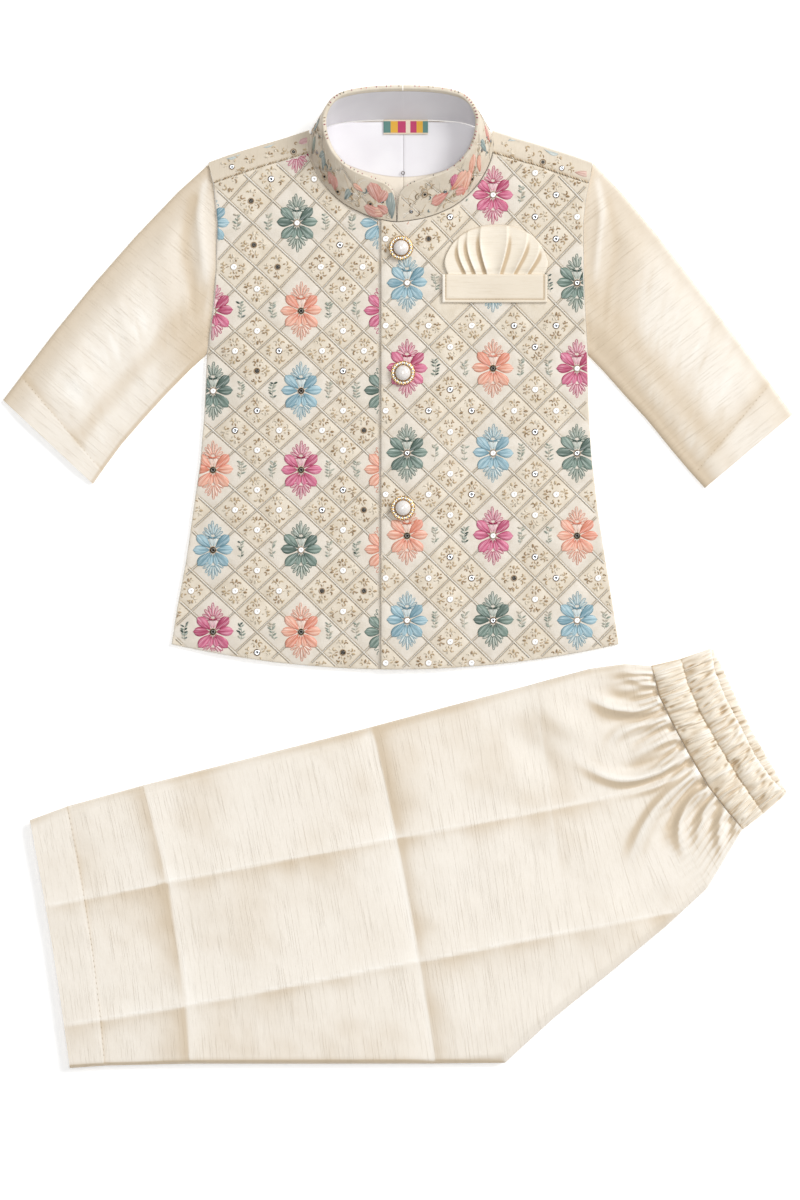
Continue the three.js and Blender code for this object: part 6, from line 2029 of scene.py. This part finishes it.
def leg_glow(points, t, v):
    """Painted sheen of the leg: painted highlights on the crests, painted shade on the shaded side of each crease and
    along the folds.
    """
    x, y = points[..., 0], points[..., 1]
    glow = 1.15 * lit_side(points, 2.6)
    pull = smooth((t - 0.7) / 0.3)
    for depth, width, shaded, _, path in creases:
        away, run, hand = beside(x, y, curved(path))
        ends = smooth(run / 0.03 + 0.5) * smooth((1 - run) / 0.06 + 0.3) * min(1.0, depth)
        dark = hand == shaded
        uneven = 0.8 + 0.35 * soft_noise(x, y, 26, 180)
        shade = np.where(dark, -0.62 * np.exp(-away / (2.2 * width)), 0.34 * np.exp(-away / 9.0))
        turned_over = np.where(dark, smooth(away / 1.6 + 0.3), 1.0)
        glow = glow + ends * shade * turned_over * uneven
        glow = glow + 0.42 * ends * bell(away, 1.5)
    for path, rise, near, far in leg_gathers:
        away, run, _, _ = nearest_on(x, y, curved(path))
        width = mix(near, far, run)
        fade = smooth((1 - run) / 0.4)
        if rise > 0:
            glow = glow + 0.24 * rise * fade * bell(away, 0.34 * width + 0.2)
            glow = glow - 0.16 * rise * fade * bell(away - 1.1 * width, 0.6 * width)
        else:
            glow = glow + (0.26 + 0.2 * (1 - run)) * rise * fade * bell(away, 0.8 * width)
    notch = np.full_like(x, 99.0)
    for nx, ny in waist_notches:
        notch = np.minimum(notch, np.hypot(x - nx, y - ny))
    glow = glow - 1.5 * bell(notch, 2.6) + 0.4 * waist_ruche(t, v)
    glow = glow - 0.85 * bell(v * 190, 5.0) - 0.10 * bell((1 - v) * 190, 3.0)
    for path, rise in small_gathers:
        away, run, _, _ = nearest_on(x, y, curved(path))
        glow = glow + 0.3 * np.sign(rise) * smooth((1 - run) / 0.5) * bell(away, 0.9 + run)
    glow = glow + 0.18 * (t < hem_fold["end"]) - 0.6 * bell(t - hem_fold["end"], 0.0022)
    glow = glow + 0.28 * soft_noise(x, y, 44, 181) + 0.10 * soft_noise(x, y, 15, 182) - 0.10 - 0.18 * pull
    return np.clip(glow, -1.3, 1.1)


def leg_height(x, y, t, v):
    edge = smooth(v / 0.035 + 0.1) * smooth((1 - v) / mix(0.012, 0.035, smooth((t - 0.6) / 0.1)) + 0.1)
    pull = smooth((t - 0.7) / 0.3)
    press, ridge = np.ones_like(x), np.zeros_like(x)
    for depth, width, _, raised, path in creases:
        away = nearest_on(x, y, curved(path))[0]
        roof = np.exp(-(np.hypot(away, 1.5) - 1.5) / (1.6 * width))
        if raised:
            ridge = ridge + 0.6 * depth * roof
        else:
            press = press * (1 - 0.5 * depth * roof)
    soft = 1.5 * np.maximum(press, 0) * (1 - 0.5 * pull) + ridge * (1 - pull)
    for path, rise, near, far in leg_swells:
        soft = soft + soft_ridge(x, y, path, rise, near, far, 0.45, 0.45)
    gather = np.zeros_like(x)
    for path, rise, near, far in leg_gathers:
        gather = gather + soft_ridge(x, y, path, 0.74 * rise, near, far, 0.6)
    for path, rise in small_gathers:
        gather = gather + soft_ridge(x, y, path, rise, 1.1, 2.6, 0.6)
    ruche = 0.34 * waist_ruche(t, v)
    for nx, ny in waist_notches:
        ruche = ruche - 1.6 * np.exp(-((x - nx) ** 2 + (y - ny) ** 2) / 2.4 ** 2)
    wave = 0.28 * soft_noise(x, y, 30, 141) + 0.10 * soft_noise(x, y, 10, 142)
    hemmed = hem_fold["step"] * (1 - smooth((t - hem_fold["end"]) / 0.004))
    dimple = -0.3 * bell(t - hem_fold["end"], 0.003)
    top = hidden_top + seam_gap + leg_wall + 0.8 * pull - 0.5 * (1 - edge)
    return top + (soft + gather + ruche + wave + dimple) * edge + hemmed


def leg_piece():
    t = np.concatenate([
        np.linspace(0, 0.054, 10), [0.0575, 0.06, 0.0625],
        np.linspace(0.067, 0.70, 150), np.linspace(0.704, 1, 110),
    ])
    v = np.concatenate([[0, 0.003, 0.008, 0.016], np.linspace(0.026, 0.974, 136), [0.984, 0.992, 0.997, 1]])
    gt, gv = np.meshgrid(t, v, indexing="ij")
    x, y = leg_place(gt, gv)
    z = leg_height(x, y, gt, gv)
    inside = hidden_top + seam_gap
    z = np.maximum(z, inside + 0.5)
    roll = np.minimum(gv, 1 - gv) * leg_width
    z = z - 0.9 * (1 - np.sqrt(np.clip(1 - (1 - np.clip(roll / 1.6, 0, 1)) ** 2, 0, 1)))
    bottom = np.maximum(z - leg_wall, inside)
    bottom = np.minimum(bottom, z - 0.3)
    weave = flat3(gv * leg_width, gt * leg_length)
    top = flat3(x, y, z)
    return grid_shell("leg_cloth", top, flat3(x, y, bottom), weave, cream_silk, glow=leg_glow(top, gt, gv))


leg_made = leg_piece()
s = np.linspace(0.02, 0.98, 90)
t = np.full_like(s, hem_fold["end"])
leg_hem_x, leg_hem_y = leg_place(t, s)


def leg_hem_height(px, py):
    order = np.argsort(leg_hem_y)
    return np.interp(py, leg_hem_y[order], leg_height(leg_hem_x, leg_hem_y, t, s)[order])


stitch_row(sewn, np.stack([leg_hem_x, leg_hem_y], 1), leg_hem_height, length=2.2, gap=2.0, radius=0.17)


def hidden_layers_piece():
    """The three layers under the top one: stacked folds that show only at the edges."""
    stops = np.linspace(0, 1, 120)
    sides = np.linspace(0, 1, 40)[1:-1]
    edge = np.concatenate([
        np.stack(leg_place(stops, 0 * stops), 1), np.stack(leg_place(0 * sides + 1, sides), 1),
        np.stack(leg_place(stops[::-1], 0 * stops + 1), 1), np.stack(leg_place(0 * sides, sides[::-1]), 1),
    ])
    loop = loop_of(edge)
    rings = []
    for n in range(3):
        low, shift = n * 1.6, 1.2 + (0, 0.9, 0.3)[n]
        for inset, z in ((0.75, 0), (0.2, 0.25), (0, 0.7), (0.2, 1.15), (0.75, 1.4)):
            ring = shrunk(loop, shift + inset)
            rings.append(flat3(ring[:, 0], ring[:, 1], low + z))
        if n < 2:
            ring = shrunk(loop, 3.4)
            rings.append(flat3(ring[:, 0], ring[:, 1], low + 1.5))
    points = np.concatenate(rings)
    count = len(loop)
    faces = grid_faces(len(rings), count, closed=True)
    faces += [list(range(count))[::-1], [(len(rings) - 1) * count + k for k in range(count)]]
    return build("leg_layers", points, faces, cream_silk, 40, weave=points[:, [1, 0, 2]])


layers_made = hidden_layers_piece()


# Waistband

def band_piece(near):
    """Elastic casing in two channels, finely ruched."""
    outer = ("near_x", "near_y") if near else ("far_x", "far_y")
    stations = np.linspace(0, 1, 420)
    shares = np.concatenate([[0, 0.01, 0.03], np.linspace(0.06, 0.46, 12), [0.48, 0.495, 0.505, 0.52],
                             np.linspace(0.54, 0.94, 12), [0.97, 0.99, 1]])
    t, share = np.meshgrid(stations, shares, indexing="ij")

    def column(name):
        return along(band_rows, "t", t, name)

    first = share <= 0.5
    s = np.where(first, share * 2, share * 2 - 1)
    x = np.where(first, mix(column("seam_x"), column("mid_x"), s), mix(column("mid_x"), column(outer[0]), s))
    y = np.where(first, mix(column("seam_y"), column("mid_y"), s), mix(column("mid_y"), column(outer[1]), s))
    end_fall = 1 - smooth(t / 0.07) * smooth((1 - t) / 0.07)
    channel = np.sqrt(np.clip(np.sin(math.pi * np.clip(s, 0, 1)), 0, 1))
    phase = 2 * math.pi * band["ribs"] * t
    lean = 0.9 * soft_noise(t * 40, s * 1.3 + 3 * first, 1.0, 160 + near)
    tilt = (share - 0.5) * 3.2
    rib = 0.5 + 0.5 * np.sin(phase + tilt + 2.4 * lean - math.pi / 2)
    fine = soft_noise(t * 70 + 0.4 * tilt + 0.8 * lean, s * 1.7 + 5 * first, 1.0, 162)
    finer = soft_noise(t * 150 + 0.9 * tilt + 1.5 * lean, s * 2.7 + 7 * first, 1.0, 163)
    ruche = band["rib"] * (0.60 * rib + 1.15 * fine + 0.55 * finer) * (0.35 + 0.65 * channel)
    pitted = np.zeros_like(t)
    order = np.random.RandomState(190)
    for place in np.arange(0.03, 0.99, 0.034):
        spot = place + order.uniform(-0.008, 0.008)
        for at, reach, chance in ((0.87, 0.08, 0.85), (0.42, 0.05, 0.3), (0.07, 0.04, 0.35), (0.62, 0.07, 0.35)):
            at, spot = at + order.uniform(-0.06, 0.05), spot + order.uniform(-0.006, 0.006)
            if order.uniform() < chance:
                size = order.uniform(0.7, 1.15)
                slant = (t - spot) * 145 + (share - at) * 9
                pitted = pitted + size * np.exp(-(slant / 1.15) ** 2 - ((share - at) / reach) ** 2)
    ruche = ruche - 1.5 * pitted
    puffed = band["puff"] * channel + ruche
    fall = 1 - 0.65 * end_fall
    bottom = (band["near_bottom"] - 2.4 * end_fall) if near else np.zeros_like(t)
    wall = band["wall"] if near else band["far_top"] - 1.2 * end_fall
    z = bottom + wall + puffed * fall * (1 if near else 0.62)
    scallop = 0.45 * rib * (share == 1)
    ahead = np.gradient(x, axis=0), np.gradient(y, axis=0)
    length = np.hypot(*ahead)
    x = x + scallop * ahead[1] / length * -1
    y = y + scallop * ahead[0] / length
    low = np.maximum(bottom, z - body_wall) if near else bottom
    low = np.minimum(low, z - 0.4)
    weave = flat3(share * 60, t * 260)
    name = "waistband_near_cloth" if near else "waistband_far_cloth"
    top = flat3(x, y, z)
    # Painted light: highlights and shade that follow the ruching, and painted shade in the pits, along the middle
    # stitching and at the seam.
    glow = 0.75 * lit_side(top, 1.5) + 0.52 * np.clip(fine + 0.9 * finer, -1.2, 1) - 0.9 * pitted + 0.02
    glow = glow - 0.55 * bell(share - 0.5, 0.012) - 0.4 * bell(share, 0.02)
    return grid_shell(name, top, flat3(x, y, low), weave, band_silk, 60, glow=np.clip(glow, -1.2, 1))


band_near, band_far = band_piece(True), band_piece(False)

# Small thread ring at the foot of the neck
ring_turn = np.linspace(0, 2 * math.pi, 17)[:-1]
ring_path = np.stack([3.6 + 1.1 * np.cos(ring_turn), 291.2 + 1.3 * np.sin(ring_turn), 0 * ring_turn + 4.3], 1)
sewn.tube(ring_path, np.broadcast_to([0, 0, 1.0], ring_path.shape), 0.3, tone(150, 142, 140), sides=6, closed=True)

# Joined stitching and trimming
stitched = [
    work["floss"].piece("flower_petals", floss),
    work["marks"].piece("sprays_and_buttis", floss),
    work["cords"].piece("couched_cords", cord_thread),
    sewn.piece("hem_stitches", sewing),
]
sequins = [
    work["silver"].piece("sequins_silver", silver_sequin),
    work["grey"].piece("sequins_grey", grey_sequin),
    work["dark"].piece("sequins_dark", dark_sequin),
]

# Each piece of cloth: finish, the node it stands for, flat width and length, flat area, how it is held, and
# what it lies on
left_shoulder, right_shoulder = shoulder_pieces
left_lining, right_lining = neck_linings
cloths = (
    (back_piece, "embroidered_cloth", "back_panel", (0.322, 0.396), 0.108, "laid", []),
    (left_shoulder, "embroidered_cloth", None, (0.080, 0.028), None, "folded", [back_piece]),
    (right_shoulder, "embroidered_cloth", None, (0.080, 0.028), None, "folded", [back_piece]),
    (front_left, "embroidered_cloth", "front_panel_under", (0.179, 0.372), 0.055, "laid", [back_piece]),
    (front_right, "embroidered_cloth", "front_panel_over", (0.172, 0.372), 0.052, "laid", [front_left]),
    (collar_pieces[-1], "embroidered_cloth", "collar_left", (0.036, 0.170), None, "folded", [front_left]),
    (collar_pieces[1], "embroidered_cloth", "collar_right", (0.036, 0.170), None, "folded", [front_right]),
    (collar_lining, "white_lining", "collar_lining", (0.026, 0.290), None, "folded", [back_piece]),
    (left_lining, "white_lining", "neck_lining_left", (0.064, 0.068), 0.0033, "laid", [back_piece]),
    (right_lining, "white_lining", "neck_lining_right", (0.060, 0.067), 0.0031, "laid", [back_piece]),
    (label_piece_made, "label_tape", "neck_label", (0.032, 0.0106), None, "laid", [left_lining, right_lining]),
    (sleeves["left"][0], "cream_silk", "sleeve_left", (0.184, 0.228), 0.0334, "laid", []),
    (sleeves["right"][0], "cream_silk", "sleeve_right", (0.184, 0.228), 0.0334, "laid", []),
    (welt_made, "cream_silk", "pocket_welt", (0.0758, 0.0204), None, "folded", [front_right]),
    (square_made, "cream_silk", "pocket_square", (0.092, 0.042), 0.0033, "gathered", [front_right]),
    (leg_made, "cream_silk", "leg_upper", (0.510, 0.260), 0.106, "gathered", ["leg_hidden_layers"]),
    (layers_made, "cream_silk", "leg_hidden_layers", (0.510, 0.260), 0.105, "folded", []),
    (band_near, "cream_silk", "waistband_near", (0.046, 0.190), None, "gathered", [band_far]),
    (band_far, "cream_silk", "waistband_far", (0.046, 0.190), None, "gathered", []),
)
for piece, finish_slot, node, *_ in cloths:
    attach(piece, "root")
    if node:
        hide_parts(node)
for n, (rim, stones, ball) in enumerate(button_sets):
    for piece, finish_slot in ((rim, "gilt_metal"), (stones, "gilt_metal"), (ball, "pearl")):
        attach(piece, "root")
    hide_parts(f"button_rim_{n + 1}")
    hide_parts(f"button_pearl_{n + 1}")
for piece in (*stitched, *sequins):
    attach(piece, "root")

for piece, _, _, size, area, held, under in cloths:
    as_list(under)

# Stage: pale floor, soft studio light, and the camera straight above
bpy.ops.mesh.primitive_plane_add(size=8, location=(0, 0, -0.0004))
floor = bpy.context.object
floor.name = "floor"
paper = Finish("pale_floor")
floor.data.materials.append(paper.surface(
    Base_Color=tone(252, 252, 252), Roughness=0.9, Specular_IOR_Level=0.1,
    Emission_Color=tone(255, 255, 255), Emission_Strength=0.26,
))

view_scale = 0.72
frame_pixels = (800, 1200)
camera_height = 8.0
camera_data = bpy.data.cameras.new("camera")
camera = bpy.data.objects.new("camera", camera_data)
bpy.context.scene.collection.objects.link(camera)
camera_data.sensor_width = 36
camera_data.lens = 36 * camera_height / (frame_pixels[1] * view_scale * MM)
camera.location = ((400 - 398) * view_scale * MM, (577.5 - 600) * view_scale * MM, camera_height + 0.004)
camera_data.clip_end = 20
bpy.context.scene.camera = camera


def soft_light(name, place, size, power):
    """A square light that looks at the middle of the garment."""
    data = bpy.data.lights.new(name, "AREA")
    data.shape = "RECTANGLE"
    data.size = data.size_y = size
    data.energy = power
    lamp = bpy.data.objects.new(name, data)
    bpy.context.scene.collection.objects.link(lamp)
    lamp.location = place
    lamp.rotation_euler = (Vector() - Vector(place)).to_track_quat("-Z", "Y").to_euler()


soft_light("key", (3.4, 2.3, 3.6), 2.6, 205)
soft_light("overhead", (0, 0.4, 9.0), 3.0, 225)
world = bpy.data.worlds.new("studio")
world.use_nodes = True
world.node_tree.nodes["Background"].inputs["Color"].default_value = (1.0, 1.0, 1.0, 1.0)
world.node_tree.nodes["Background"].inputs["Strength"].default_value = 0.36
bpy.context.scene.world = world
bpy.context.scene.view_settings.view_transform = "Standard"
bpy.context.scene.view_settings.look = "None"
